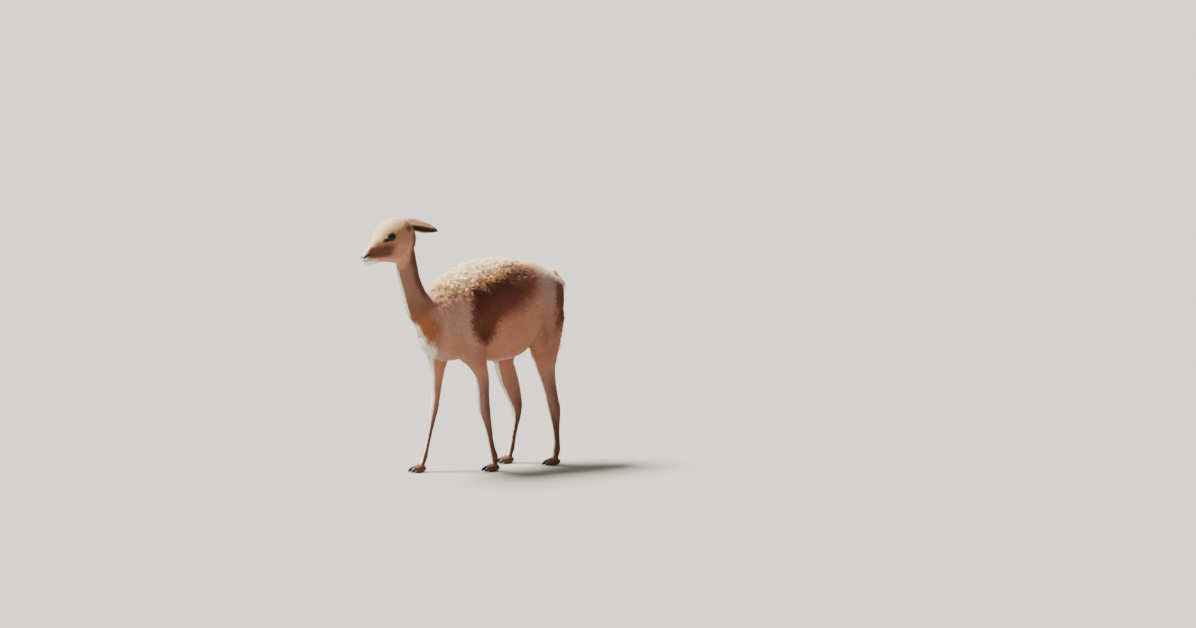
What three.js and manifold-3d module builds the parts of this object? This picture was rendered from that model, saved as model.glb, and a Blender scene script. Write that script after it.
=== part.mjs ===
// A standing vicuna at life size, in millimetres, +Z up. It faces -X, its right side is +Y, and the origin
// is on the ground under the middle of its box. Its left legs are back and its right legs are forward, as in
// a slow walk that has just stopped. The head looks ahead with the chin a little down and the ears laid back.
import * as THREE from "three";
import { mergeVertices } from "three/addons/utils/BufferGeometryUtils.js";
import Module from "manifold-3d";

const wasm = await Module();
wasm.setup();

// Driving sizes.
const SHIFT_X = 171; // from the middle of the barrel forward to the middle of the whole animal's box
const GAP = 0.35; // the cut between two nodes that touch
const BACK_HEIGHT = 889; // top of the coat over the middle of the back
const WITHERS_HEIGHT = 812;
const BELLY_HEIGHT = 455;
const BARREL_HALF = 142; // half the width of the barrel, coat included
const FLEECE_RISE = 12; // how far the clumps of wool stand off the trunk's core
const BREAST_REACH = 60; // how far the breast rounds out ahead of the first trunk station
const CAPE_END = 40; // the cape of curly wool runs from the withers back to here
const EYE_RADIUS = 18.5;
const LID = 3.4; // how far the lids stand off the eyeball
const FORELEG_CUT = 471; // height at which a foreleg leaves the trunk
const HINDLEG_CUT = 444;
const CARPUS_CUT = 262;
const HOCK_CUT = 236;
const FETLOCK_CUT = 58;

// Each trunk station gives the heights of its top, bottom and widest line, its half width, and how square
// its lower half is.
const TRUNK = [
  { x: -318, top: 744, bottom: 502, mid: 612, half: 84, lower: 2.3 }, // breast
  { x: -286, top: WITHERS_HEIGHT, bottom: 484, mid: 612, half: 101, lower: 2.5 }, // withers
  { x: -238, top: 842, bottom: 474, mid: 616, half: 114, lower: 2.7 }, // shoulder
  { x: -137, top: 880, bottom: 474, mid: 630, half: 132, lower: 2.5 }, // girth
  { x: -35, top: BACK_HEIGHT, bottom: BELLY_HEIGHT, mid: 640, half: BARREL_HALF, lower: 2.3 }, // ribs
  { x: 66, top: 884, bottom: 464, mid: 652, half: 141, lower: 2.3 }, // belly
  { x: 140, top: 870, bottom: 506, mid: 672, half: 130, lower: 2.4 }, // flank
  { x: 214, top: 846, bottom: 560, mid: 696, half: 114, lower: 2.4 }, // croup
  { x: 270, top: 812, bottom: 606, mid: 704, half: 92, lower: 2.3 }, // rump
];

// Each path station gives a centre, the half depth ahead and behind, and the half width.
const NECK = [
  { x: -470, y: 0, z: 1026, fore: 36, aft: 43, half: 35 },
  { x: -466, y: 0, z: 985, fore: 47, aft: 49, half: 39 },
  { x: -459, y: 0, z: 935, fore: 49, aft: 52, half: 39 },
  { x: -449, y: 0, z: 880, fore: 51, aft: 54, half: 38 },
  { x: -436, y: 0, z: 830, fore: 50, aft: 52, half: 38 },
  { x: -418, y: 0, z: 786, fore: 56, aft: 51, half: 42 },
  { x: -394, y: 0, z: 742, fore: 69, aft: 52, half: 49 },
  { x: -360, y: 0, z: 700, fore: 82, aft: 60, half: 60 },
  { x: -312, y: 0, z: 664, fore: 110, aft: 74, half: 74 },
  { x: -250, y: 0, z: 640, fore: 104, aft: 88, half: 82 },
];

// Forelegs, from inside the shoulder down to the fetlock. The left one trails.
const LEFT_FORE = [
  { x: -258, y: -48, z: 700, fore: 50, aft: 54, half: 26 },
  { x: -244, y: -63, z: 620, fore: 72, aft: 76, half: 41 },
  { x: -206, y: -74, z: 545, fore: 66, aft: 70, half: 42 },
  { x: -164, y: -80, z: 486, fore: 49, aft: 51, half: 38 },
  { x: -140, y: -83, z: 434, fore: 33, aft: 38, half: 30 },
  { x: -130, y: -83, z: 391, fore: 27, aft: 35, half: 27 },
  { x: -125, y: -82, z: 340, fore: 24, aft: 32, half: 25 },
  { x: -122, y: -81, z: 298, fore: 24, aft: 31, half: 25 },
  { x: -116, y: -80, z: 262, fore: 23, aft: 30, half: 25 },
  { x: -106, y: -79, z: 222, fore: 18, aft: 25, half: 20 },
  { x: -93, y: -77, z: 176, fore: 14, aft: 20, half: 16 },
  { x: -81, y: -75, z: 130, fore: 13, aft: 15, half: 14 },
  { x: -70, y: -73, z: 92, fore: 14, aft: 16, half: 15 },
  { x: -62, y: -72, z: 64, fore: 16, aft: 18, half: 18 },
  { x: -60, y: -72, z: 42, fore: 15, aft: 17, half: 18 },
  { x: -62, y: -72, z: 24, fore: 13, aft: 15, half: 15 },
];
const RIGHT_FORE = [
  { x: -266, y: 48, z: 700, fore: 46, aft: 54, half: 26 },
  { x: -260, y: 63, z: 620, fore: 68, aft: 76, half: 41 },
  { x: -248, y: 74, z: 545, fore: 64, aft: 66, half: 42 },
  { x: -240, y: 80, z: 486, fore: 54, aft: 50, half: 38 },
  { x: -240, y: 83, z: 434, fore: 41, aft: 34, half: 30 },
  { x: -245, y: 83, z: 391, fore: 33, aft: 28, half: 26 },
  { x: -251, y: 82, z: 340, fore: 26, aft: 24, half: 23 },
  { x: -258, y: 81, z: 298, fore: 23, aft: 22, half: 24 },
  { x: -265, y: 80, z: 262, fore: 22, aft: 22, half: 23 },
  { x: -273, y: 79, z: 222, fore: 17, aft: 18, half: 18 },
  { x: -284, y: 78, z: 176, fore: 14, aft: 15, half: 14 },
  { x: -296, y: 77, z: 130, fore: 13, aft: 14, half: 14 },
  { x: -307, y: 76, z: 92, fore: 13, aft: 15, half: 15 },
  { x: -316, y: 76, z: 64, fore: 16, aft: 17, half: 18 },
  { x: -325, y: 76, z: 42, fore: 15, aft: 16, half: 18 },
  { x: -333, y: 76, z: 24, fore: 13, aft: 15, half: 15 },
];
const LEFT_HIND = [
  { x: 210, y: -44, z: 776, fore: 52, aft: 48, half: 32 },
  { x: 206, y: -60, z: 700, fore: 88, aft: 82, half: 47 },
  { x: 196, y: -71, z: 620, fore: 100, aft: 94, half: 50 },
  { x: 188, y: -77, z: 545, fore: 90, aft: 88, half: 47 },
  { x: 188, y: -81, z: 480, fore: 66, aft: 66, half: 39 },
  { x: 190, y: -82, z: 430, fore: 48, aft: 52, half: 32 },
  { x: 200, y: -82, z: 380, fore: 37, aft: 40, half: 27 },
  { x: 214, y: -81, z: 330, fore: 32, aft: 33, half: 23 },
  { x: 229, y: -80, z: 280, fore: 33, aft: 28, half: 22 },
  { x: 241, y: -79, z: 236, fore: 33, aft: 26, half: 22 },
  { x: 246, y: -78, z: 192, fore: 26, aft: 20, half: 19 },
  { x: 249, y: -77, z: 149, fore: 19, aft: 16, half: 15 },
  { x: 251, y: -76, z: 104, fore: 15, aft: 16, half: 15 },
  { x: 251, y: -75, z: 64, fore: 17, aft: 18, half: 18 },
  { x: 246, y: -75, z: 42, fore: 15, aft: 16, half: 18 },
  { x: 240, y: -75, z: 24, fore: 13, aft: 15, half: 15 },
];
const RIGHT_HIND = [
  { x: 204, y: 44, z: 776, fore: 52, aft: 50, half: 32 },
  { x: 188, y: 60, z: 700, fore: 86, aft: 84, half: 47 },
  { x: 156, y: 71, z: 620, fore: 90, aft: 102, half: 50 },
  { x: 118, y: 77, z: 545, fore: 74, aft: 94, half: 47 },
  { x: 94, y: 81, z: 480, fore: 60, aft: 64, half: 39 },
  { x: 92, y: 82, z: 430, fore: 52, aft: 47, half: 32 },
  { x: 112, y: 82, z: 376, fore: 54, aft: 41, half: 29 },
  { x: 130, y: 81, z: 330, fore: 50, aft: 36, half: 26 },
  { x: 146, y: 80, z: 282, fore: 42, aft: 29, half: 23 },
  { x: 155, y: 79, z: 240, fore: 34, aft: 24, half: 21 },
  { x: 151, y: 78, z: 196, fore: 22, aft: 20, half: 18 },
  { x: 141, y: 77, z: 152, fore: 16, aft: 16, half: 16 },
  { x: 130, y: 76, z: 106, fore: 15, aft: 16, half: 15 },
  { x: 120, y: 75, z: 64, fore: 17, aft: 18, half: 18 },
  { x: 112, y: 75, z: 42, fore: 15, aft: 16, half: 18 },
  { x: 105, y: 75, z: 24, fore: 13, aft: 15, half: 15 },
];

const TAIL = [
  { x: 262, y: 0, z: 806, fore: 22, aft: 20, half: 24 },
  { x: 296, y: 0, z: 776, fore: 26, aft: 18, half: 27 },
  { x: 306, y: 0, z: 724, fore: 30, aft: 15, half: 30 },
  { x: 311, y: 0, z: 664, fore: 22, aft: 15, half: 32 },
  { x: 311, y: 0, z: 604, fore: 16, aft: 14, half: 31 },
  { x: 307, y: 0, z: 548, fore: 13, aft: 12, half: 26 },
  { x: 302, y: 0, z: 500, fore: 8, aft: 8, half: 14 },
];

// Each head station pairs a point of the top line with one of the lower line, with the half width between
// them, how far up that width lies, and how square the section is above and below it.
const HEAD = [
  { tx: -436, tz: 1058, bx: -416, bz: 1004, half: 31, rise: 0.5, upper: 2, lower: 2 }, // nape
  { tx: -454, tz: 1084, bx: -422, bz: 962, half: 44, rise: 0.55, upper: 2, lower: 2 }, // poll
  { tx: -484, tz: 1098, bx: -450, bz: 926, half: 50, rise: 0.58, upper: 2.1, lower: 1.9 }, // cap
  { tx: -516, tz: 1096, bx: -482, bz: 906, half: 51, rise: 0.6, upper: 2.2, lower: 1.9 }, // cheek
  { tx: -550, tz: 1084, bx: -511, bz: 904, half: 51, rise: 0.62, upper: 2.4, lower: 1.8 }, // temple
  { tx: -576, tz: 1066, bx: -538, bz: 909, half: 48, rise: 0.62, upper: 2.5, lower: 1.8 }, // eyes
  { tx: -595, tz: 1046, bx: -561, bz: 912, half: 42, rise: 0.58, upper: 2.4, lower: 1.9 },
  { tx: -608, tz: 1025, bx: -582, bz: 912, half: 35, rise: 0.54, upper: 2.2, lower: 2 },
  { tx: -620, tz: 1004, bx: -602, bz: 909, half: 29.5, rise: 0.5, upper: 2.1, lower: 2.1 }, // bridge
  { tx: -632, tz: 988, bx: -622, bz: 905, half: 27, rise: 0.48, upper: 2.1, lower: 2.2 },
  { tx: -645, tz: 974, bx: -640, bz: 903, half: 25.5, rise: 0.46, upper: 2.2, lower: 2.2 }, // nostrils
  { tx: -657, tz: 961, bx: -655, bz: 907, half: 22.5, rise: 0.45, upper: 2.2, lower: 2.2 }, // lips
  { tx: -666, tz: 949, bx: -667, bz: 919, half: 15, rise: 0.45, upper: 2, lower: 2 },
];

// An ear laid back level, from its root to its tip, on the left side. The right ear mirrors it, and the left
// one hangs lower and further out, by EAR_SAG more at each station.
const EAR_SAG = 2.1;
const EAR = [
  { x: -462, y: -26, z: 1052, fore: 13, aft: 13, half: 13 },
  { x: -444, y: -31, z: 1058, fore: 15, aft: 15, half: 14 },
  { x: -420, y: -37, z: 1060, fore: 20, aft: 20, half: 12 },
  { x: -392, y: -42, z: 1058, fore: 22, aft: 22, half: 10 },
  { x: -362, y: -45, z: 1054, fore: 18, aft: 18, half: 8 },
  { x: -334, y: -46, z: 1049, fore: 11, aft: 11, half: 6 },
  { x: -312, y: -45, z: 1044, fore: 4, aft: 4, half: 3 },
];

const EYE = { x: -549, y: -36, z: 1018 };
const NOSTRIL = { x: -655, y: -15, z: 948 };
const MOUTH = { x: -676, z: 930, back: -608 }; // front of the mouth line, and how far back its corner lies
const MOUTH_SLOPE = 0.07;

function mixed(a, b, c, d, t) {
  // Catmull-Rom between b and c.
  return 0.5 * (2 * b + (c - a) * t + (2 * a - 5 * b + 4 * c - d) * t * t + (3 * b - a - 3 * c + d) * t ** 3);
}

function smoothed(stations, steps) {
  const out = [];
  const last = stations.length - 1;
  for (let i = 0; i < last; i += 1) {
    const near = [Math.max(i - 1, 0), i, i + 1, Math.min(i + 2, last)].map((k) => stations[k]);
    for (let s = 0; s < steps; s += 1) {
      const entry = {};
      for (const key of Object.keys(stations[i])) {
        entry[key] = mixed(near[0][key], near[1][key], near[2][key], near[3][key], s / steps);
      }
      out.push(entry);
    }
  }
  out.push(stations[last]);
  return out;
}

function manifoldOf(positions, indices) {
  let volume = 0;
  const v = (k) => new THREE.Vector3(positions[3 * k], positions[3 * k + 1], positions[3 * k + 2]);
  for (let i = 0; i < indices.length; i += 3) {
    volume += v(indices[i]).dot(v(indices[i + 1]).cross(v(indices[i + 2])));
  }
  const faces = [];
  for (let i = 0; i < indices.length; i += 3) {
    const [a, b, c] = [indices[i], indices[i + 1], indices[i + 2]];
    faces.push(...(volume > 0 ? [a, b, c] : [a, c, b]));
  }
  return new wasm.Manifold(
    new wasm.Mesh({
      numProp: 3,
      vertProperties: new Float32Array(positions),
      triVerts: new Uint32Array(faces),
    }),
  );
}

function loft(rings, tips) {
  // A closed solid through rings of equal count. Each end is drawn to its tip, or to its own middle.
  const count = rings[0].length;
  const positions = rings.flat().flatMap((p) => [p.x, p.y, p.z]);
  const indices = [];
  for (let r = 0; r + 1 < rings.length; r += 1) {
    for (let k = 0; k < count; k += 1) {
      const [a, b] = [r * count + k, r * count + ((k + 1) % count)];
      indices.push(a, b, b + count, a, b + count, a + count);
    }
  }
  for (const end of [0, rings.length - 1]) {
    const middle = new THREE.Vector3();
    for (const p of rings[end]) middle.addScaledVector(p, 1 / count);
    if (tips) middle.copy(tips[end === 0 ? 0 : 1]);
    positions.push(middle.x, middle.y, middle.z);
    const tip = positions.length / 3 - 1;
    for (let k = 0; k < count; k += 1) {
      const [a, b] = [end * count + k, end * count + ((k + 1) % count)];
      indices.push(...(end === 0 ? [tip, b, a] : [tip, a, b]));
    }
  }
  return manifoldOf(positions, indices);
}

function power(value, exponent) {
  return Math.sign(value) * Math.abs(value) ** (2 / exponent);
}

function trunkRing(s, segments, shrink = 1, push = 0) {
  const ring = [];
  for (let k = 0; k < segments; k += 1) {
    const angle = (2 * Math.PI * k) / segments;
    const [c, n] = [Math.cos(angle), Math.sin(angle)];
    const square = n > 0 ? 2.15 : s.lower;
    const tall = n > 0 ? s.top - s.mid : s.mid - s.bottom;
    const y = s.half * power(c, square) * shrink;
    ring.push(new THREE.Vector3(s.x + push, y, s.mid + tall * power(n, square) * shrink));
  }
  return ring;
}

function pathRing(path, i, segments, square = 2) {
  const [p, a, b] = [path[i], path[Math.max(i - 1, 0)], path[Math.min(i + 1, path.length - 1)]];
  const along = new THREE.Vector3(b.x - a.x, b.y - a.y, b.z - a.z).normalize();
  const side = new THREE.Vector3(0, 1, 0).addScaledVector(along, -along.y).normalize();
  const ahead = new THREE.Vector3().crossVectors(side, along).normalize();
  const ring = [];
  for (let k = 0; k < segments; k += 1) {
    const angle = (2 * Math.PI * k) / segments;
    const [c, n] = [power(Math.cos(angle), square), power(Math.sin(angle), square)];
    const depth = c > 0 ? p.fore : p.aft;
    ring.push(
      new THREE.Vector3(p.x, p.y, p.z).addScaledVector(ahead, c * depth).addScaledVector(side, n * p.half),
    );
  }
  return ring;
}

function limb(stations, steps, segments, square = 2) {
  const path = smoothed(stations, steps);
  return loft(path.map((_, i) => pathRing(path, i, segments, square)));
}

function headRing(s, segments) {
  const ring = [];
  for (let k = 0; k < segments; k += 1) {
    const angle = (2 * Math.PI * k) / segments;
    const [c, n] = [Math.cos(angle), Math.sin(angle)];
    const square = n > 0 ? s.upper : s.lower;
    const level = n > 0 ? s.rise + (1 - s.rise) * power(n, square) : s.rise + s.rise * power(n, square);
    ring.push(
      new THREE.Vector3(
        s.bx + (s.tx - s.bx) * level,
        s.half * power(c, square),
        s.bz + (s.tz - s.bz) * level,
      ),
    );
  }
  return ring;
}

function ellipsoid(centre, size, turn = new THREE.Euler(), around = 16, rows = 8) {
  const rings = [];
  for (let r = 1; r < rows; r += 1) {
    const tilt = (Math.PI * r) / rows;
    const ring = [];
    for (let k = 0; k < around; k += 1) {
      const angle = (2 * Math.PI * k) / around;
      const p = new THREE.Vector3(
        size[0] * Math.cos(tilt),
        size[1] * Math.sin(tilt) * Math.cos(angle),
        size[2] * Math.sin(tilt) * Math.sin(angle),
      );
      ring.push(p.applyEuler(turn).add(centre));
    }
    rings.push(ring);
  }
  const ends = [new THREE.Vector3(size[0], 0, 0), new THREE.Vector3(-size[0], 0, 0)];
  return loft(rings, ends.map((p) => p.applyEuler(turn).add(centre)));
}

function block(low, high) {
  // An upright box between two corners.
  const ring = (z) => [
    new THREE.Vector3(low[0], low[1], z),
    new THREE.Vector3(high[0], low[1], z),
    new THREE.Vector3(high[0], high[1], z),
    new THREE.Vector3(low[0], high[1], z),
  ];
  return loft([ring(low[2]), ring(high[2])]);
}

function prism(outline, y0, y1) {
  // An outline of [x, z] points carried from one side to the other.
  return loft([y0, y1].map((y) => outline.map(([x, z]) => new THREE.Vector3(x, y, z))));
}

function largest(solid) {
  return solid.decompose().reduce((best, piece) => (piece.volume() > best.volume() ? piece : best));
}

function mirrored(stations) {
  return stations.map((s) => ({ ...s, y: -s.y }));
}

// The trunk's core and its rounded ends.
const trunkPath = smoothed(TRUNK, 2).map((s) => {
  // The breast has short hair, so its core keeps the full outline.
  const inset = FLEECE_RISE * Math.min(Math.max((s.x + 322) / 60, 0.15), 1);
  return { ...s, top: s.top - inset, bottom: s.bottom + inset * 0.5, half: s.half - inset };
});
const trunkRings = trunkPath.map((s) => trunkRing(s, 24));
for (const t of [0.42, 0.75, 0.95]) {
  trunkRings.unshift(trunkRing(trunkPath[0], 24, Math.sqrt(1 - t * t), -BREAST_REACH * t));
  trunkRings.push(trunkRing(trunkPath.at(-1), 24, Math.sqrt(1 - t * t), (44 - FLEECE_RISE) * t));
}
let trunk = loft(trunkRings);

// Clumps of wool, set in staggered rows that lie back and down. On the cape they are small and curly.
let seed = 5304;
function chance() {
  seed = (seed * 16807) % 2147483647;
  return seed / 2147483647;
}
function trunkPoint(x, angle) {
  let i = 0;
  while (i + 2 < trunkPath.length && trunkPath[i + 1].x < x) i += 1;
  const [a, b] = [trunkPath[i], trunkPath[i + 1]];
  const t = Math.min(Math.max((x - a.x) / (b.x - a.x), 0), 1);
  const s = Object.fromEntries(Object.keys(a).map((key) => [key, a[key] + (b[key] - a[key]) * t]));
  const [c, n] = [Math.cos(angle), Math.sin(angle)];
  const square = n > 0 ? 2.15 : s.lower;
  const tall = n > 0 ? s.top - s.mid : s.mid - s.bottom;
  return new THREE.Vector3(x, s.half * power(c, square), s.mid + tall * power(n, square));
}
function clump(x, angle, length, width, rise, sway) {
  const at = trunkPoint(x, angle);
  const along = trunkPoint(x + 6, angle).sub(at).normalize();
  const around = trunkPoint(x, angle + 0.03).sub(at).normalize();
  const normal = new THREE.Vector3().crossVectors(along, around).normalize();
  if (normal.dot(new THREE.Vector3(0, at.y, at.z - 640)) < 0) normal.negate();
  const down = new THREE.Vector3(0, 0, -1).addScaledVector(normal, normal.z).normalize();
  const lie = along.clone().multiplyScalar(Math.cos(sway)).addScaledVector(down, Math.sin(sway)).normalize();
  const side = new THREE.Vector3().crossVectors(normal, lie).normalize();
  const rings = [[-0.55, 0.8, 0.55], [0.05, 1, 1], [0.62, 0.72, 1.02]].map(([reach, broad, tall]) => {
    const ring = [];
    for (let k = 0; k < 5; k += 1) {
      const turn = (2 * Math.PI * (k + 0.25)) / 5;
      const lift = Math.sin(turn) > 0 ? rise * tall : rise;
      ring.push(
        at
          .clone()
          .addScaledVector(lie, reach * length * 0.5)
          .addScaledVector(side, Math.cos(turn) * broad * width * 0.58)
          .addScaledVector(normal, Math.sin(turn) * lift),
      );
    }
    return ring;
  });
  const front = at.clone().addScaledVector(lie, -length * 0.5).addScaledVector(normal, -rise * 0.5);
  const rear = at.clone().addScaledVector(lie, length * 0.5).addScaledVector(normal, rise * 0.45);
  return loft(rings, [front, rear]);
}
const clumps = [];
let row = 0;
for (let x = -290; x < 286; row += 1) {
  const cape = x < CAPE_END;
  const [length, width] = cape ? [76, 62] : [112, 80];
  const step = (width * 1.08) / 178;
  for (const side of [0, 1]) {
    let angle = 0.5 * Math.PI - (side === 0 ? 0 : step) - (row % 2) * step * 0.5;
    while (angle > -0.36) {
      const curly = cape && angle > 0.3;
      const size = cape && !curly ? 1.25 : 1;
      clumps.push(
        clump(
          x + (chance() - 0.5) * 14,
          (side === 0 ? angle : Math.PI - angle) + (chance() - 0.5) * 0.08,
          length * size * (0.92 + 0.2 * chance()),
          width * size * (0.95 + 0.15 * chance()),
          FLEECE_RISE * (curly ? 1.02 : 0.8) * (0.88 + 0.24 * chance()),
          (0.25 + 0.35 * Math.cos(angle)) * (curly ? 1.3 * (chance() + 0.2) : 0.7),
        ),
      );
      angle -= step * size;
    }
  }
  x += cape ? 66 : 98;
}
trunk = wasm.Manifold.union([trunk, ...clumps]);

// Locks of hair: flat tapering blades that hang from a root and bend along a course.
function lock(root, course, broad, length, width, thick) {
  const side = broad.clone().normalize();
  const rings = [];
  const steps = [0, 0.38, 0.72];
  for (const t of steps) {
    const centre = root.clone().addScaledVector(course(t), length);
    const ahead = course(t + 0.05).clone().sub(course(t)).normalize();
    const flat = new THREE.Vector3().crossVectors(ahead, side).normalize();
    const fat = 1 - 0.62 * t * t;
    rings.push(
      [[1, 0], [0, 1], [-1, 0], [0, -1]].map(([a, b]) =>
        centre.clone().addScaledVector(side, a * width * 0.5 * fat).addScaledVector(flat, b * thick * 0.5 * fat),
      ),
    );
  }
  const back = root.clone().addScaledVector(course(-0.1), length);
  const tip = root.clone().addScaledVector(course(1), length);
  return loft(rings, [back, tip]);
}

const neck = limb(NECK, 2, 16);
const legs = {
  left_foreleg: limb(LEFT_FORE, 1, 12),
  right_foreleg: limb(RIGHT_FORE, 1, 12),
  left_hindleg: limb(LEFT_HIND, 1, 12),
  right_hindleg: limb(RIGHT_HIND, 1, 12),
};

// The tail's hair hangs in locks down its sides and back, and a fringe of wool hangs between the forelegs.
function tailSolid(grow) {
  const core = TAIL.map((s) => ({ ...s, fore: s.fore + grow, aft: s.aft + grow, half: s.half + grow }));
  const pieces = [limb(core, 2, 10)];
  for (let i = 0; i < 11; i += 1) {
    const t = i / 10;
    const side = [0, 1, -1][i % 3];
    const root = new THREE.Vector3(311 + (side === 0 ? 4 : 0), side * 20, 740 - 205 * t);
    const course = (u) => new THREE.Vector3(0.1 * Math.sin(2.6 * u), side * 0.12 * u * (1 - u), -u);
    const broad = side === 0 ? new THREE.Vector3(0, 1, 0) : new THREE.Vector3(0.7, side * 0.7, 0);
    pieces.push(lock(root, course, broad, 78 - 10 * t + 2 * grow, 26 + 2 * grow, 9 + 2 * grow));
  }
  return wasm.Manifold.union(pieces);
}
const tail = tailSolid(0);
const fringe = [];
for (let i = 0; i < 12; i += 1) {
  const [x, y] = [-262 + 21 * i, (i % 2 ? 1 : -1) * (14 + 16 * chance())];
  const root = new THREE.Vector3(x, y, 492 - 0.05 * (x + 262));
  const course = (u) => new THREE.Vector3(0.35 * u * u, 0.1 * Math.sin(3 * u + i), -u);
  fringe.push(lock(root, course, new THREE.Vector3(0.9, 0.4, 0), 40 + 14 * chance(), 30, 10));
}
trunk = wasm.Manifold.union([trunk, ...fringe]);

// The head: skull, brows, cheeks and lids.
const headPath = smoothed(HEAD, 2);
let head = loft(headPath.map((s) => headRing(s, 18)));
const eyes = {};
const eyeSides = { left: 1, right: -1 };
for (const [side, sign] of Object.entries(eyeSides)) {
  const at = (dx, dy, dz) => new THREE.Vector3(EYE.x + dx, sign * (EYE.y + dy), EYE.z + dz);
  const brow = ellipsoid(at(2, 4, 15), [31, 15, 12], new THREE.Euler(0, -0.5, 0), 9, 5);
  const cheek = ellipsoid(at(-14, 9, -34), [44, 14, 15], new THREE.Euler(0, -0.62, 0), 9, 5);
  const lids = ellipsoid(at(0, 0, 0), [EYE_RADIUS + LID + 3, EYE_RADIUS + LID, EYE_RADIUS + LID], new THREE.Euler(0, -0.45, 0), 14, 7);
  head = head.add(brow).add(cheek).add(lids);
}
for (const [side, sign] of Object.entries(eyeSides)) {
  const centre = new THREE.Vector3(EYE.x, sign * EYE.y, EYE.z);
  const opening = [];
  for (const [reach, size] of [[6, 0.72], [40, 1.5]]) {
    const ring = [];
    for (let k = 0; k < 12; k += 1) {
      const angle = (2 * Math.PI * k) / 12;
      const along = 16.5 * size * power(Math.cos(angle), 2.3);
      const rise = (Math.sin(angle) > 0 ? 10.5 : 8.5) * size * Math.sin(angle);
      const turned = [along * 0.9 + rise * 0.43, rise * 0.9 - along * 0.43];
      ring.push(new THREE.Vector3(centre.x - turned[0] - reach * 0.22, centre.y - sign * reach, centre.z + turned[1] + reach * 0.12));
    }
    opening.push(ring);
  }
  head = head.subtract(loft(opening));
  head = head.subtract(ellipsoid(centre, [EYE_RADIUS + GAP, EYE_RADIUS + GAP, EYE_RADIUS + GAP], undefined, 14, 8));
  eyes[side] = ellipsoid(centre, [EYE_RADIUS, EYE_RADIUS, EYE_RADIUS], undefined, 14, 8);
}

// Nostrils, and the split of the upper lip.
for (const sign of [1, -1]) {
  const place = new THREE.Vector3(NOSTRIL.x - 6, sign * (NOSTRIL.y - 2), NOSTRIL.z);
  head = head.subtract(ellipsoid(place, [11, 4.5, 7], new THREE.Euler(0, -0.75, sign * 0.5), 8, 5));
}
head = head.subtract(prism([[-690, 948], [-659, 943], [-657, 928], [-690, 924]], -1.1, 1.1));

// Ears, each a leaf with its hollow turned outward.
function sagged(stations) {
  return stations.map((s, i) => ({
    ...s,
    x: s.x - 1.3 * EAR_SAG * i,
    y: s.y - 0.5 * EAR_SAG * i,
    z: s.z - EAR_SAG * i,
    fore: s.fore * 1.1,
    aft: s.aft * 1.1,
  }));
}
const ears = {};
const earRoots = [];
for (const [side, sign] of Object.entries(eyeSides)) {
  const stations = sign > 0 ? sagged(EAR) : mirrored(EAR);
  const shell = limb(stations, 1, 14);
  const hollow = stations.slice(1, -1).map((s) => ({
    x: s.x + 4,
    y: s.y - sign * (s.half * 0.85 + 1),
    z: s.z - 2,
    fore: s.fore * 0.68,
    aft: s.aft * 0.68,
    half: s.half * 1.05,
  }));
  ears[side] = shell.subtract(limb(hollow, 1, 10));
  earRoots.push(limb(stations.map((s) => ({ ...s, fore: s.fore + GAP, aft: s.aft + GAP, half: s.half + GAP })), 1, 14));
}

// Feet: two toes each, with a narrow nail at the end of each toe.
const toes = {};
const nails = {};
const sockets = [];
function foot(name, x, y) {
  let pads = null;
  for (const [place, sign] of [["inner", -Math.sign(y)], ["outer", Math.sign(y)]]) {
    const [tx, ty] = [x, y + sign * 11.5];
    const toe = [
      { x: tx + 30, y: ty - sign * 1, z: 11, fore: 7, aft: 8, half: 7 },
      { x: tx + 23, y: ty - sign * 1, z: 14, fore: 13, aft: 15, half: 10.5 },
      { x: tx + 6, y: ty, z: 16, fore: 17, aft: 18, half: 12 },
      { x: tx - 14, y: ty + sign * 1, z: 14, fore: 15, aft: 16, half: 11.5 },
      { x: tx - 27, y: ty + sign * 1.5, z: 11, fore: 10, aft: 12, half: 8.5 },
    ];
    const pad = limb(toe, 1, 8);
    pads = pads ? pads.add(pad) : pad;
    const nail = [
      { x: tx - 16, y: ty + sign * 1, z: 18, fore: 6, aft: 7, half: 6.5 },
      { x: tx - 27, y: ty + sign * 1.5, z: 14.5, fore: 8, aft: 8.5, half: 7 },
      { x: tx - 37, y: ty + sign * 1.5, z: 10, fore: 7, aft: 7.5, half: 5.2 },
      { x: tx - 44, y: ty + sign * 1, z: 5.5, fore: 3, aft: 3.5, half: 2.4 },
    ];
    nails[`${name}_${place}_nail`] = limb(nail, 1, 6);
    sockets.push(limb(nail.map((s) => ({ ...s, fore: s.fore + GAP, aft: s.aft + GAP, half: s.half + GAP })), 1, 6));
  }
  toes[name] = pads;
}
foot("left_fore", -72, -72);
foot("right_fore", -343, 76);
foot("left_hind", 231, -75);
foot("right_hind", 96, 75);

// One whole, then parted by thin cuts.
let whole = trunk.add(neck).add(head);
for (const leg of Object.values(legs)) whole = whole.add(leg);
for (const pad of Object.values(toes)) whole = whole.add(pad);
whole = whole.subtract(block([-900, -400, -80], [600, 400, 0]));
whole = whole.subtract(tailSolid(GAP));
for (const socket of [...sockets, ...earRoots]) whole = whole.subtract(socket);
for (const [side, sign] of Object.entries(eyeSides)) {
  const centre = new THREE.Vector3(EYE.x, sign * EYE.y, EYE.z);
  whole = whole.subtract(ellipsoid(centre, [EYE_RADIUS + GAP, EYE_RADIUS + GAP, EYE_RADIUS + GAP], undefined, 14, 8));
}

const nodes = {};
function take(name, cell, grown) {
  nodes[name] = largest(whole.intersect(cell));
  whole = whole.subtract(grown);
}
function takeOutline(name, outline, back, y0, y1) {
  // An outline of [x, z] points, where back lists the points that stand off by the gap in what is left.
  const grown = outline.map(([x, z], i) => (back[i] ? [x + back[i][0] * GAP, z + back[i][1] * GAP] : [x, z]));
  take(name, prism(outline, y0, y1), prism(grown, y0, y1));
}

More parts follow.
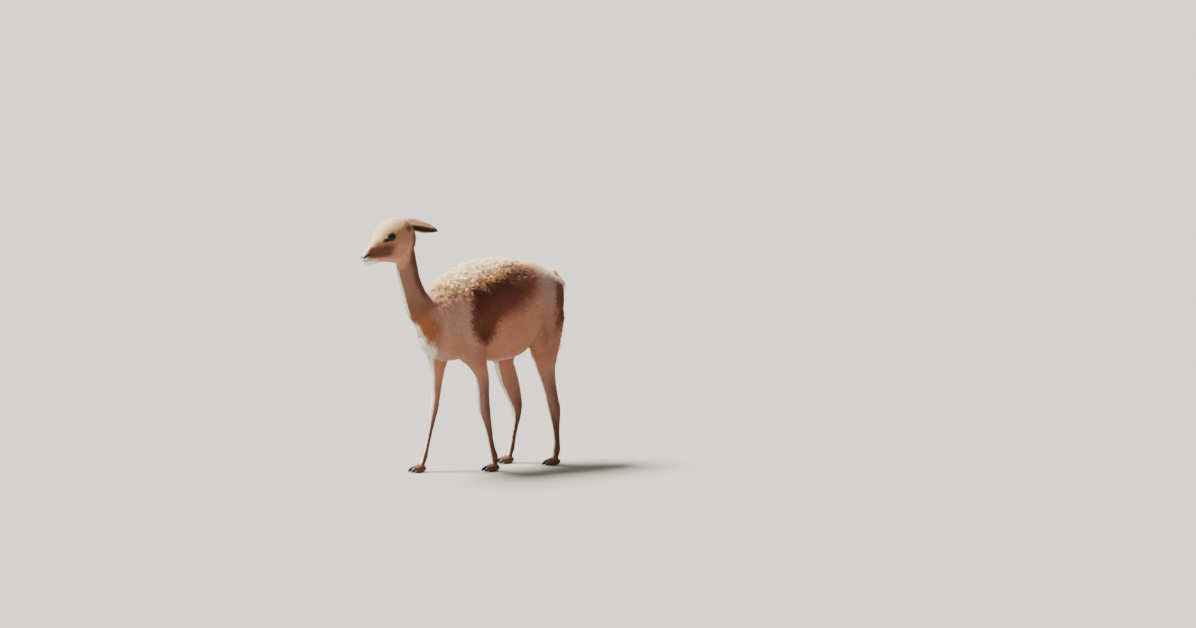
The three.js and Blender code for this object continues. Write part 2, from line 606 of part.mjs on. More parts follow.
// Nails leave room for themselves in the toes and lie flush with the ground.
const ground = block([-900, -400, -80], [600, 400, 0.6]);
for (const [name, nail] of Object.entries(nails)) {
  nodes[name] = nail.subtract(ground);
}
const LEG_CELLS = {
  left_fore: { x0: -230, x1: 30, y0: -160, y1: -5, middle: CARPUS_CUT },
  right_fore: { x0: -420, x1: -150, y0: 5, y1: 160, middle: CARPUS_CUT },
  left_hind: { x0: 92, x1: 350, y0: -160, y1: -5, middle: HOCK_CUT },
  right_hind: { x0: -20, x1: 350, y0: 5, y1: 160, middle: HOCK_CUT },
};
for (const [name, cell] of Object.entries(LEG_CELLS)) {
  const [x0, x1] = [cell.x0, cell.x1];
  const level = (z) => [[x0, -90], [x0, z], [x1, z], [x1, -90]];
  const up = { 1: [0, 1], 2: [0, 1] };
  takeOutline(`${name}_foot`, level(FETLOCK_CUT), up, cell.y0, cell.y1);
  takeOutline(`${name}_lower_leg`, level(cell.middle), up, cell.y0, cell.y1);
  if (name.endsWith("fore")) {
    takeOutline(`${name}_upper_leg`, level(FORELEG_CUT), up, cell.y0, cell.y1);
  } else {
    // A thigh leaves the trunk along the rising line of the groin.
    const groin = [[x0, -90], [x0, HINDLEG_CUT], [100, HINDLEG_CUT], [150, 496], [218, 548], [x1, 640], [x1, -90]];
    const rise = { 1: [0, 1], 2: [-1, 1], 3: [-1, 1], 4: [-1, 1], 5: [0, 1] };
    takeOutline(`${name}_upper_leg`, groin, rise, cell.y0, cell.y1);
  }
}

// The head parts from the neck behind the jaw, and the neck from the trunk across its line at the shoulders.
const behind = [1, -1];
const jawLine = [[-472, 896], [-395, 1110], [-760, 1110], [-760, 896]];
takeOutline("head", jawLine, { 0: behind, 1: behind, 3: [0, -1] }, -300, 300);
const shoulderLine = [[-456, 627], [-316, 750], [-340, 830], [-390, 1060], [-760, 1060], [-760, 627]];
takeOutline("neck", shoulderLine, { 0: behind, 1: behind, 2: behind, 3: behind, 5: [0, -1] }, -300, 300);
nodes.torso = largest(whole);
nodes.tail = tail;

// The lower jaw parts from the head along the mouth line.
const jaw = [
  [MOUTH.x - 20, MOUTH.z - MOUTH_SLOPE * 20],
  [MOUTH.back, MOUTH.z + MOUTH_SLOPE * (MOUTH.back - MOUTH.x)],
  [-566, 930],
  [-548, 880],
  [-720, 860],
];
const headSolid = nodes.head;
const groove = prism(
  [
    [MOUTH.x - 20, MOUTH.z - MOUTH_SLOPE * 20 - 1.1],
    [MOUTH.x - 20, MOUTH.z - MOUTH_SLOPE * 20 + 1.3],
    [MOUTH.back - 4, MOUTH.z + MOUTH_SLOPE * (MOUTH.back - MOUTH.x) + 0.9],
    [MOUTH.back - 4, MOUTH.z + MOUTH_SLOPE * (MOUTH.back - MOUTH.x) - 0.9],
  ],
  -60,
  60,
);
const inside = loft(headPath.map((s) => headRing({ ...s, half: s.half * 0.84, tx: s.tx + 3, bx: s.bx + 3 }, 12)));
const lips = groove.subtract(inside);
nodes.lower_jaw = largest(headSolid.intersect(prism(jaw, -80, 80)).subtract(lips));
nodes.head = headSolid.subtract(prism(jaw.map(([x, z], i) => (i === 4 || i === 3 ? [x + GAP, z] : [x + GAP, z + GAP])), -81, 81)).subtract(lips);
for (const side of ["left", "right"]) {
  nodes[`${side}_ear`] = ears[side];
  nodes[`${side}_eye`] = eyes[side];
}

const COATS = {
  torso: ["coat_saddle", 0xb98c5c, 0.95],
  neck: ["coat_neck", 0xb47a4c, 0.95],
  head: ["coat_head", 0xc9a37a, 0.9],
  lower_jaw: ["coat_pale", 0xe6d9c4, 0.9],
  tail: ["coat_tail", 0x8f5f3a, 0.95],
  ear: ["coat_ear", 0xc7a684, 0.9],
  eye: ["eye_dark", 0x17100c, 0.08],
  nail: ["nail_horn", 0x2b2420, 0.45],
  leg: ["coat_legs", 0xd9c2a2, 0.9],
  foot: ["coat_legs", 0xd9c2a2, 0.9],
};
function finishOf(name) {
  return COATS[name] ?? COATS[Object.keys(COATS).find((key) => name.endsWith(key))];
}

const parts = new THREE.Group();
parts.name = "vicuna";
for (const [name, solid] of Object.entries(nodes)) {
  const mesh = largest(solid).getMesh();
  const geometry = new THREE.BufferGeometry();
  const shifted = Float32Array.from(mesh.vertProperties, (value, i) => (i % 3 === 0 ? value + SHIFT_X : value));
  geometry.setAttribute("position", new THREE.BufferAttribute(shifted, 3));
  geometry.setIndex(new THREE.BufferAttribute(mesh.triVerts, 1));
  const [title, color, roughness] = finishOf(name);
  const material = new THREE.MeshStandardMaterial({ color, roughness, metalness: 0 });
  material.name = title;
  const object = new THREE.Mesh(mergeVertices(geometry), material);
  object.name = name;
  parts.add(object);
}
export default parts;
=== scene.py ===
"""A standing vicuna at life size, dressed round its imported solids.

The skin is one surface under the whole coat, and the coat is tufts of wool and hair made as thin closed
blades. Sizes of the body are in millimetres, as in the part's source, and the scene is in metres. The animal
faces -X and its left side is -Y.
"""

import math

import bmesh
import bpy
import numpy as np
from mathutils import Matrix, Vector


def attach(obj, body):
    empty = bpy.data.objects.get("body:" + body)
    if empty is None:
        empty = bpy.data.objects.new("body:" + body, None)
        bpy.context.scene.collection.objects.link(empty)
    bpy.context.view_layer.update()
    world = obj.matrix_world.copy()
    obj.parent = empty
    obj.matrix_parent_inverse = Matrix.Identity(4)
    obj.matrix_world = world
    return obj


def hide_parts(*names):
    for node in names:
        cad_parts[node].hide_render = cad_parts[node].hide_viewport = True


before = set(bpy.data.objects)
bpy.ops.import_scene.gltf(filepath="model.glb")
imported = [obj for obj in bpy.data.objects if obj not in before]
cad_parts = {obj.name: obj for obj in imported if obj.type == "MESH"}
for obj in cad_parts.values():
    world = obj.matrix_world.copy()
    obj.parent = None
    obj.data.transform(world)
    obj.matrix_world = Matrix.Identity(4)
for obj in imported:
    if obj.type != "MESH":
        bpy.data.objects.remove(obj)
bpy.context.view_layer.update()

# Driving sizes, in millimetres.
SHIFT_X = 171.0  # from the middle of the barrel forward to the middle of the whole animal's box
SKIN_VOXEL = 5.3  # edge of the cells that the skin is first built in
EYE_RADIUS = 18.5
BREAST_REACH = 60.0  # how far the breast rounds out ahead of the first trunk station
TRUNK_COAT = 11.0  # depth of the wool on the trunk
NECK_COAT = 7.0
LEG_COAT = 2.6
HEAD_COAT = 2.0
CLUMP = 25.0  # distance between the clumps of wool on the cape
LOCK = CLUMP * 1.1  # distance between the long locks on the flanks
CAPE_SEED = 11
FLANK_SEED = 12
SEED = 5304
MOST_TRIANGLES = 199000  # in one piece of the coat
TOE_SPREAD = 11.5  # from the middle of a foot to the middle of each toe

# Photograph's view: the camera looks from ahead of the left side, a little from above.
VIEW_TURN = math.radians(-34.0)
VIEW_RISE = math.radians(8.0)
VIEW_DISTANCE = 40.0
VIEW_WIDTH = 5.0232  # metres across the picture at the animal
VIEW_RIGHT = 0.4242  # metres from under the barrel to the picture's middle, along the picture
VIEW_UP = 0.6447
SENSOR = 36.0

# Light.
SUN_STRENGTH = 15.0
SUN_SPREAD = math.radians(20)
SUN_COLOUR = (1.0, 0.94, 0.84)
SUN_FROM = (-0.34, 0.34, 0.88)
FILL_WATTS = 22
FILL_COLOUR = (1.0, 0.93, 0.86)
FILL_PLACE = (-3.6, -4.6, 3.0)
FILL_TARGET = (0, 0, 0.6)
FILL_SIZE = 3.2
HORIZON_STRENGTH = 1.0
ZENITH_STRENGTH = 0.38
SKY_COLOUR = (0.95, 0.92, 0.89, 1)
FLOOR_COLOUR = (0.37, 0.362, 0.35)

# x, top, bottom, middle, half width, squareness of the lower half
TRUNK = np.array([
    (-318, 744, 502, 612, 84, 2.3),
    (-286, 812, 484, 612, 101, 2.5),
    (-238, 842, 474, 616, 114, 2.7),
    (-137, 880, 474, 630, 132, 2.5),
    (-35, 889, 455, 640, 142, 2.3),
    (66, 884, 464, 652, 141, 2.3),
    (140, 870, 506, 672, 130, 2.4),
    (214, 846, 560, 696, 114, 2.4),
    (270, 812, 606, 704, 92, 2.3),
], float)

# x, y, z, half depth ahead, half depth behind, half width
NECK = np.array([
    (-470, 0, 1026, 36, 43, 35),
    (-466, 0, 985, 47, 49, 39),
    (-459, 0, 935, 49, 52, 39),
    (-449, 0, 880, 51, 54, 38),
    (-436, 0, 830, 50, 52, 38),
    (-418, 0, 786, 56, 51, 42),
    (-394, 0, 742, 69, 52, 49),
    (-360, 0, 700, 82, 60, 60),
    (-312, 0, 664, 110, 74, 74),
    (-250, 0, 640, 104, 88, 82),
], float)
LEFT_FORE = np.array([
    (-258, -48, 700, 50, 54, 26),
    (-244, -63, 620, 72, 76, 41),
    (-206, -74, 545, 66, 70, 42),
    (-164, -80, 486, 49, 51, 38),
    (-140, -83, 434, 33, 38, 30),
    (-130, -83, 391, 27, 35, 27),
    (-125, -82, 340, 24, 32, 25),
    (-122, -81, 298, 24, 31, 25),
    (-116, -80, 262, 23, 30, 25),
    (-106, -79, 222, 18, 25, 20),
    (-93, -77, 176, 14, 20, 16),
    (-81, -75, 130, 13, 15, 14),
    (-70, -73, 92, 14, 16, 15),
    (-62, -72, 64, 16, 18, 18),
    (-60, -72, 42, 15, 17, 18),
    (-62, -72, 24, 13, 15, 15),
], float)
RIGHT_FORE = np.array([
    (-266, 48, 700, 46, 54, 26),
    (-260, 63, 620, 68, 76, 41),
    (-248, 74, 545, 64, 66, 42),
    (-240, 80, 486, 54, 50, 38),
    (-240, 83, 434, 41, 34, 30),
    (-245, 83, 391, 33, 28, 26),
    (-251, 82, 340, 26, 24, 23),
    (-258, 81, 298, 23, 22, 24),
    (-265, 80, 262, 22, 22, 23),
    (-273, 79, 222, 17, 18, 18),
    (-284, 78, 176, 14, 15, 14),
    (-296, 77, 130, 13, 14, 14),
    (-307, 76, 92, 13, 15, 15),
    (-316, 76, 64, 16, 17, 18),
    (-325, 76, 42, 15, 16, 18),
    (-333, 76, 24, 13, 15, 15),
], float)
LEFT_HIND = np.array([
    (210, -44, 776, 52, 48, 32),
    (206, -60, 700, 88, 82, 47),
    (196, -71, 620, 100, 94, 50),
    (188, -77, 545, 90, 88, 47),
    (188, -81, 480, 66, 66, 39),
    (190, -82, 430, 48, 52, 32),
    (200, -82, 380, 37, 40, 27),
    (214, -81, 330, 32, 33, 23),
    (229, -80, 280, 33, 28, 22),
    (241, -79, 236, 33, 26, 22),
    (246, -78, 192, 26, 20, 19),
    (249, -77, 149, 19, 16, 15),
    (251, -76, 104, 15, 16, 15),
    (251, -75, 64, 17, 18, 18),
    (246, -75, 42, 15, 16, 18),
    (240, -75, 24, 13, 15, 15),
], float)
RIGHT_HIND = np.array([
    (204, 44, 776, 52, 50, 32),
    (188, 60, 700, 86, 84, 47),
    (156, 71, 620, 90, 102, 50),
    (118, 77, 545, 74, 94, 47),
    (94, 81, 480, 60, 64, 39),
    (92, 82, 430, 52, 47, 32),
    (112, 82, 376, 54, 41, 29),
    (130, 81, 330, 50, 36, 26),
    (146, 80, 282, 42, 29, 23),
    (155, 79, 240, 34, 24, 21),
    (151, 78, 196, 22, 20, 18),
    (141, 77, 152, 16, 16, 16),
    (130, 76, 106, 15, 16, 15),
    (120, 75, 64, 17, 18, 18),
    (112, 75, 42, 15, 16, 18),
    (105, 75, 24, 13, 15, 15),
], float)
TAIL = np.array([
    (262, 0, 806, 22, 20, 24),
    (296, 0, 776, 26, 18, 27),
    (306, 0, 724, 30, 15, 30),
    (311, 0, 664, 22, 15, 32),
    (311, 0, 604, 16, 14, 31),
    (307, 0, 548, 13, 12, 26),
    (302, 0, 500, 8, 8, 14),
], float)

# top x, top z, bottom x, bottom z, half width, level of the widest line, squareness above and below
HEAD = np.array([
    (-436, 1058, -416, 1004, 31, 0.5, 2, 2),
    (-454, 1084, -422, 962, 44, 0.55, 2, 2),
    (-484, 1098, -450, 926, 50, 0.58, 2.1, 1.9),
    (-516, 1096, -482, 906, 51, 0.6, 2.2, 1.9),
    (-550, 1084, -511, 904, 51, 0.62, 2.4, 1.8),
    (-576, 1066, -538, 909, 48, 0.62, 2.5, 1.8),
    (-595, 1046, -561, 912, 42, 0.58, 2.4, 1.9),
    (-608, 1025, -582, 912, 35, 0.54, 2.2, 2),
    (-620, 1004, -602, 909, 29.5, 0.5, 2.1, 2.1),
    (-632, 988, -622, 905, 27, 0.48, 2.1, 2.2),
    (-645, 974, -640, 903, 25.5, 0.46, 2.2, 2.2),
    (-657, 961, -655, 907, 22.5, 0.45, 2.2, 2.2),
    (-666, 949, -667, 919, 15, 0.45, 2, 2),
], float)
EAR = np.array([
    (-462, -26, 1052, 13, 13, 13),
    (-444, -31, 1058, 15, 15, 14),
    (-420, -37, 1060, 20, 20, 12),
    (-392, -42, 1058, 22, 22, 10),
    (-362, -45, 1054, 18, 18, 8),
    (-334, -46, 1049, 11, 11, 6),
    (-312, -45, 1044, 4, 4, 3),
], float)
EAR_SAG = 2.1  # how far the left ear hangs lower from one station to the next
EYE = np.array([-549.0, -36.0, 1018.0])
NOSTRIL = np.array([-656.0, -14.0, 943.0])
MOUTH_FRONT = np.array([-676.0, 926.0])
MOUTH_BACK_X = -608.0
MOUTH_SLOPE = 0.07
UPPER_LID = 11.6  # how far the eye's opening reaches above its slit
LOWER_LID = 8.6
SLIT_HALF = 19.4  # half the length of the slit, lid corners included
PALE_BRIDGE = (  # places along the muzzle and brow, and how low the pale colour comes down there
    [-680, -657, -645, -632, -620, -611, -595, -575, -560, -549, -530, -514, -484, -462],
    [920, 946, 960, 974, 988, 1002, 1007, 1011, 1024, 1036, 1044, 1053, 1076, 1100],
)
SHOULDER_LINE = ([627, 750, 830, 1060], [-456, -316, -340, -390])  # heights, and where the neck starts there
FEET = {
    "left_fore": (-72, -72),
    "right_fore": (-343, 76),
    "left_hind": (231, -75),
    "right_hind": (96, 75),
}
SIDES = {"left": 1.0, "right": -1.0}  # the stations above are the left side's; the right mirrors their y


def ease(low, high, value):
    """Rises smoothly from 0 at low to 1 at high, and falls where high is the lesser."""
    t = np.clip((np.asarray(value, float) - low) / (high - low), 0, 1)
    return t * t * (3 - 2 * t)


def power(value, square):
    """Superellipse of a sine or cosine: its size to the power 2 / square, with its sign kept."""
    return np.sign(value) * np.abs(value) ** (2 / square)


def unit(vectors):
    """Vectors divided by their lengths."""
    return vectors / np.maximum(np.linalg.norm(vectors, axis=-1, keepdims=True), 1e-9)


def dot(a, b):
    """Scalar product over the last axis."""
    return (a * b).sum(-1)


def square_to(vectors, up):
    """The part of each vector that lies square to its unit vector up."""
    return vectors - up * dot(vectors, up)[:, None]


def to_left(p):
    """The same points moved over to the left side."""
    return np.column_stack([p[:, 0], -np.abs(p[:, 1]), p[:, 2]])


def metres(points):
    """Body millimetres to the scene's metres."""
    return (np.asarray(points, float) + np.array([SHIFT_X, 0, 0])) * 0.001


def spline(rows, steps):
    """Catmull-Rom curve through the rows of a table, with so many steps from each row to the next."""
    last = len(rows) - 1
    place = np.linspace(0, last, last * steps + 1)
    start = np.minimum(place.astype(int), last - 1)
    t = (place - start)[:, None]
    a, b, c, d = (rows[np.clip(start + k, 0, last)] for k in (-1, 0, 1, 2))
    return 0.5 * (2 * b + (c - a) * t + (2 * a - 5 * b + 4 * c - d) * t**2 + (3 * b - a - 3 * c + d) * t**3)


def path_frame(path):
    """Unit vectors along a path of centres, across it towards +Y, and ahead, square to both."""
    along = unit(np.gradient(path[:, :3], axis=0))
    side = unit(np.array([0.0, 1.0, 0.0]) - along * along[:, 1:2])
    return along, side, np.cross(side, along)


def tube(path, around, square=2.0):
    """Rings about a path: ahead by depth * power(cos a), sideways by half width * power(sin a)."""
    angle = np.linspace(0, 2 * np.pi, around, endpoint=False)
    c = power(np.cos(angle), square)[None, :, None]
    s = power(np.sin(angle), square)[None, :, None]
    _, side, ahead = path_frame(path)
    depth = np.where(c > 0, path[:, None, 3:4], path[:, None, 4:5])
    return path[:, None, :3] + ahead[:, None] * c * depth + side[:, None] * s * path[:, None, 5:6]


def limb(rows, inset, around, steps=6):
    """A tube through a table's stations, drawn in by the coat's depth, which may change along it."""
    path = spline(rows, steps)
    path[:, 3:6] = np.maximum(path[:, 3:6] - np.reshape(inset(path), (-1, 1)), 2.0)
    return tube(path, around)


def trunk_rings(inset, around=64, steps=6):
    """Upright superellipse rings from breast to rump, closed by ends that shrink as a quarter circle."""
    path = spline(TRUNK, steps)
    draw = inset * np.clip((path[:, 0] + 330) / 70, 0.5, 1)
    path[:, 1] -= draw
    path[:, 2] += draw * 0.8
    path[:, 4] -= draw
    angle = np.linspace(0, 2 * np.pi, around, endpoint=False)
    c, s = np.cos(angle), np.sin(angle)
    ends = np.sin(np.linspace(0, np.pi / 2, 8)[1:-1])
    rows = np.vstack([path[[0]]] * len(ends) + [path] + [path[[-1]]] * len(ends))
    middle = np.zeros(len(path))
    shrink = np.concatenate([np.sqrt(1 - ends[::-1] ** 2), middle + 1, np.sqrt(1 - ends**2)])
    push = np.concatenate([-(BREAST_REACH - inset * 0.4) * ends[::-1], middle, (44 - inset) * ends])
    square = np.where(s > 0, 2.15, rows[:, 5:6])
    tall = np.where(s > 0, rows[:, 1:2] - rows[:, 3:4], rows[:, 3:4] - rows[:, 2:3])
    y = rows[:, 4:5] * power(c, 2.2) * shrink[:, None]
    z = rows[:, 3:4] + tall * power(s, square) * shrink[:, None]
    x = np.broadcast_to((rows[:, 0] + push)[:, None], y.shape)
    return np.stack([x, y, z], axis=-1)


def head_rings(inset, around=44, steps=6):
    """Rings between the head's top line and lower line, each a superellipse widest at its own level."""
    path = spline(HEAD, steps)
    top, bottom = path[:, 0:2].copy(), path[:, 2:4].copy()
    upright = unit(top - bottom)
    top -= upright * inset
    bottom += upright * inset
    angle = np.linspace(0, 2 * np.pi, around, endpoint=False)
    c, s = np.cos(angle)[None], np.sin(angle)[None]
    rise = path[:, 5:6]
    square = np.where(s > 0, path[:, 6:7], path[:, 7:8])
    level = rise + np.where(s > 0, 1 - rise, rise) * power(s, square)
    flat = bottom[:, None] + (top - bottom)[:, None] * level[..., None]
    y = (path[:, 4:5] - inset) * power(c, square)
    return np.stack([flat[..., 0], y, flat[..., 1]], axis=-1)


def ellipsoid(centre, size, tilt=0.0, around=28, rows=16):
    """Rings from pole to pole along x, turned by tilt about the y axis."""
    t = np.linspace(0, np.pi, rows + 2)[1:-1, None]
    a = np.linspace(0, 2 * np.pi, around, endpoint=False)[None]
    x = np.broadcast_to(size[0] * np.cos(t), (rows, around))
    y = size[1] * np.sin(t) * np.cos(a)
    z = size[2] * np.sin(t) * np.sin(a)
    c, s = math.cos(tilt), math.sin(tilt)
    return np.stack([x * c + z * s, y, z * c - x * s], -1) + np.asarray(centre, float)


NO_TRIANGLES = np.zeros((0, 3), int)


def closed_grid(rings):
    """Faces of a grid of rings: quads between them, and a fan to the middle of each end ring."""
    count, around = rings.shape[:2]
    index = np.arange(count * around).reshape(count, around)
    after = np.roll(index, -1, axis=1)
    quads = np.stack([index[:-1], after[:-1], after[1:], index[1:]], -1).reshape(-1, 4)
    first, last = count * around, count * around + 1
    start = np.stack([after[0], index[0], np.full(around, first)], -1)
    end = np.stack([index[-1], after[-1], np.full(around, last)], -1)
    points = np.vstack([rings.reshape(-1, 3), rings[0].mean(0), rings[-1].mean(0)])
    a, b, c, d = (points[quads[:, k]] for k in range(4))
    volume = dot(a, np.cross(b, c)).sum() + dot(a, np.cross(c, d)).sum()
    caps = np.vstack([start, end])
    a, b, c = (points[caps[:, k]] for k in range(3))
    volume += dot(a, np.cross(b, c)).sum()
    if volume < 0:
        quads, caps = quads[:, ::-1], caps[:, ::-1]
    return points, quads, caps


def mesh_from(name, points, quads, triangles):
    """A mesh from arrays of points in metres, four-sided faces and three-sided faces."""
    mesh = bpy.data.meshes.new(name)
    mesh.vertices.add(len(points))
    mesh.vertices.foreach_set("co", np.asarray(points, np.float32).ravel())
    loops = np.concatenate([np.ravel(quads), np.ravel(triangles)]).astype(np.int32)
    mesh.loops.add(len(loops))
    mesh.loops.foreach_set("vertex_index", loops)
    sizes = np.concatenate([np.full(len(quads), 4), np.full(len(triangles), 3)])
    starts = np.concatenate([[0], np.cumsum(sizes)[:-1]]).astype(np.int32)
    mesh.polygons.add(len(sizes))
    mesh.polygons.foreach_set("loop_start", starts)
    mesh.polygons.foreach_set("use_smooth", np.ones(len(sizes), bool))
    mesh.update(calc_edges=True)
    mesh.validate()
    return mesh


def joined(grids):
    """Points, quads and triangles of several closed grids in one."""
    points, quads, triangles = [], [], []
    offset = 0
    for rings in grids:
        p, q, t = closed_grid(rings)
        points.append(p)
        quads.append(q + offset)
        triangles.append(t + offset)
        offset += len(p)
    return np.vstack(points), np.vstack(quads), np.vstack(triangles)


def add_object(name, mesh, material):
    """Links a mesh into the scene as an object that rides on the body."""
    piece = bpy.data.objects.new(name, mesh)
    bpy.context.scene.collection.objects.link(piece)
    mesh.materials.append(material)
    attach(piece, "root")
    return piece


def paint_points(mesh, name, colour, mask):
    """Stores a colour and a mask for each point of a mesh."""
    attribute = mesh.color_attributes.new(name, "FLOAT_COLOR", "POINT")
    values = np.column_stack([colour, np.broadcast_to(mask, len(colour))])
    attribute.data.foreach_set("color", values.astype(np.float32).ravel())


def coordinates(mesh):
    """The mesh's points as an array."""
    out = np.empty(len(mesh.vertices) * 3, np.float32)
    mesh.vertices.foreach_get("co", out)
    return out.reshape(-1, 3).astype(float)


def edge_pairs(mesh):
    """The mesh's edges as pairs of point numbers."""
    out = np.empty(len(mesh.edges) * 2, np.int32)
    mesh.edges.foreach_get("vertices", out)
    return out.reshape(-1, 2)


def relaxed(points, edges, rounds, weight=None):
    """Moves each point towards the mean of its neighbours, then part of the way back, so little shrinks."""
    points = points.copy()
    count = len(points)
    ends = np.concatenate([edges[:, 0], edges[:, 1]])
    others = np.concatenate([edges[:, 1], edges[:, 0]])
    valence = np.maximum(np.bincount(ends, minlength=count), 1)[:, None]
    weight = np.ones((count, 1)) if weight is None else weight.reshape(-1, 1)
    for step in range(rounds * 2):
        mean = np.stack([np.bincount(ends, points[others, k], count) for k in range(3)], -1) / valence
        points += (mean - points) * (0.55 if step % 2 == 0 else -0.52) * weight
    return points


def triangles_of(mesh):
    """The mesh's loop triangles as an array of point numbers."""
    mesh.calc_loop_triangles()
    out = np.empty(len(mesh.loop_triangles) * 3, np.int32)
    mesh.loop_triangles.foreach_get("vertices", out)
    return out.reshape(-1, 3)


def point_normals(points, triangles):
    """Area-weighted normal of each point."""
    a, b, c = (points[triangles[:, k]] for k in range(3))
    face = np.cross(b - a, c - a)
    total = np.zeros_like(points)
    for k in range(3):
        for axis in range(3):
            total[:, axis] += np.bincount(triangles[:, k], face[:, axis], len(points))
    return unit(total)


def scatter_hash(cells, seed):
    """Three even pseudo-random numbers from 0 to 1 for each whole-numbered cell."""
    mixed = cells[..., 0] * 374761393 + cells[..., 1] * 668265263 + cells[..., 2] * 2147483629 + seed * 144665
    out = []
    for salt in (1274126177, 2246822519, 3266489917):
        h = (mixed ^ (mixed >> 13)) * salt
        h = (h ^ (h >> 16)) & 0xFFFFFF
        out.append(h / float(0xFFFFFF))
        mixed = mixed + salt
    return np.stack(out, -1)


def clumps_near(points, cell, seed):
    """For each point, the middle of the nearest clump, its distance in cells, and the clump's own number.

    Clump middles are a grid of cells with each middle moved at random inside its cell.
    """
    place = points / cell
    home = np.floor(place).astype(np.int64)
    best = np.full(len(points), 1e9)
    second = np.full(len(points), 1e9)
    middle = np.zeros_like(points)
    number = np.zeros(len(points))
    for dx in (-1, 0, 1):
        for dy in (-1, 0, 1):
            for dz in (-1, 0, 1):
                cells = home + np.array([dx, dy, dz])
                noise = scatter_hash(cells, seed)
                at = cells + 0.15 + 0.7 * noise
                far = np.linalg.norm(at - place, axis=1)
                nearer = far < best
                second = np.where(nearer, best, np.minimum(second, far))
                best = np.where(nearer, far, best)
                middle[nearer] = at[nearer] * cell
                number[nearer] = scatter_hash(cells[nearer] + 7, seed)[:, 0]
    return middle, best, second, number


# The body under the coat.
def neck_inset(path):
    """The neck's coat grows deeper towards the shoulders."""
    return NECK_COAT + 7 * ease(740, 650, path[:, 2])


def leg_inset(path):
    """The leg's coat is short below the elbow and stifle and as deep as the trunk's above."""
    return LEG_COAT + 9 * ease(430, 560, path[:, 2])


def tail_inset(path):
    """The tail's core is thin, because its locks are long."""
    return 5.0 + 4.0 * ease(780, 700, path[:, 2])


def toe_rows(x, y, sign):
    """Stations of one toe with its pad, from heel to tip."""
    y = y + sign * TOE_SPREAD
    return np.array([
        (x + 30, y - sign, 12, 7, 8, 7),
        (x + 23, y - sign, 15, 12, 14, 10),
        (x + 6, y, 17, 15, 17, 11.5),
        (x - 14, y + sign, 15, 13, 15, 11),
        (x - 27, y + sign * 1.5, 12, 9, 12, 8.5),
    ], float)


def nail_rows(x, y, sign):
    """Stations of one nail, from under the hair to its point."""
    y = y + sign * TOE_SPREAD
    return np.array([
        (x - 14, y + sign, 19, 5.5, 6, 5.8),
        (x - 24, y + sign * 1.4, 16.5, 7.2, 7.6, 6.4),
        (x - 33, y + sign * 1.5, 12.5, 7.2, 8.2, 5.6),
        (x - 40, y + sign * 1.3, 8.6, 5, 6, 3.9),
        (x - 44.5, y + sign, 5.2, 2, 2.6, 1.8),
    ], float)


def body_forms():
    """Every closed form that the skin is made of."""
    forms = [
        trunk_rings(TRUNK_COAT),
        limb(NECK, neck_inset, 40),
        head_rings(HEAD_COAT),
        limb(TAIL, tail_inset, 24),
    ]
    forms += [limb(rows, leg_inset, 32) for rows in (LEFT_FORE, RIGHT_FORE, LEFT_HIND, RIGHT_HIND)]
    for x, y in FEET.values():
        for sign in (1, -1):
            path = spline(toe_rows(x, y, sign), 5)
            path[:, 3:6] -= 1.0
            forms.append(tube(path, 18))
    for sign in SIDES.values():
        eye = EYE * (1, sign, 1)
        forms += [
            ellipsoid(eye + (2, sign * 5, 15), (30, 13, 11), -0.5),  # brow
            ellipsoid(eye + (-16, sign * 9, -33), (44, 13, 14), -0.62),  # cheek bone
            ellipsoid(eye + (44, sign * 3, -62), (34, 14, 30), -0.3),  # angle of the jaw
            ellipsoid(eye, (21, 19.5, 20), -0.45),  # orbit
            ellipsoid((-250, -sign * 78, 590), (44, 24, 84), 0.25),  # shoulder muscle
            ellipsoid((214, -sign * 74, 640), (66, 30, 96), -0.2),  # thigh muscle
            ellipsoid((253, -sign * 27, 771), (22, 20, 25), 0.5),  # beside the root of the tail
        ]
    return forms


def remeshed(points, quads, triangles, voxel):
    """One even surface round all forms, by a voxel remesh."""
    draft = bpy.data.objects.new("skin_draft", mesh_from("skin_draft", metres(points), quads, triangles))
    bpy.context.scene.collection.objects.link(draft)
    blend = draft.modifiers.new("one_surface", "REMESH")
    blend.mode = "VOXEL"
    blend.voxel_size = voxel * 0.001
    blend.adaptivity = 0.0
    graph = bpy.context.evaluated_depsgraph_get()
    mesh = bpy.data.meshes.new_from_object(draft.evaluated_get(graph))
    bpy.data.objects.remove(draft)
    return mesh


def refined(mesh, wanted):
    """Splits in four each face whose middle lies where wanted(middle) is true."""
    work = bmesh.new()
    work.from_mesh(mesh)
    middles = np.array([f.calc_center_median()[:] for f in work.faces]) * 1000 - (SHIFT_X, 0, 0)
    work.faces.ensure_lookup_table()
    edges = dict.fromkeys(e for i in np.flatnonzero(wanted(middles)) for e in work.faces[i].edges)
    bmesh.ops.subdivide_edges(work, edges=list(edges), cuts=1, use_grid_fill=True, smooth=0)
    work.to_mesh(mesh)
    work.free()


def jaw_side(p):
    """How far a point lies ahead of the line behind the jaw, in millimetres."""
    return -((p[:, 0] + 472) * 214 - (p[:, 2] - 896) * 77) / 227.4


def near_eye(p, reach):
    """Whether a point lies within reach of either eye."""
    return np.linalg.norm(to_left(p) - EYE, axis=1) < reach


def head_and_feet(p):
    """Whether a point lies on the head or on a foot."""
    return (p[:, 2] > 890) & (p[:, 0] < -430) | (p[:, 2] < 70)


def eyes_and_nose(p):
    """Whether a point lies round an eye or on the end of the muzzle."""
    return near_eye(p, 36) | (p[:, 0] < -620) & (p[:, 2] > 900)


def lip_slope(x):
    """Height of the straight line along the lips."""
    return MOUTH_FRONT[1] + MOUTH_SLOPE * (x - MOUTH_FRONT[0])


def mouth_line(x):
    """Height of the line between the lips, which bends up at its back end."""
    return lip_slope(x) + 5.5 * ease(MOUTH_BACK_X - 22, MOUTH_BACK_X, x)


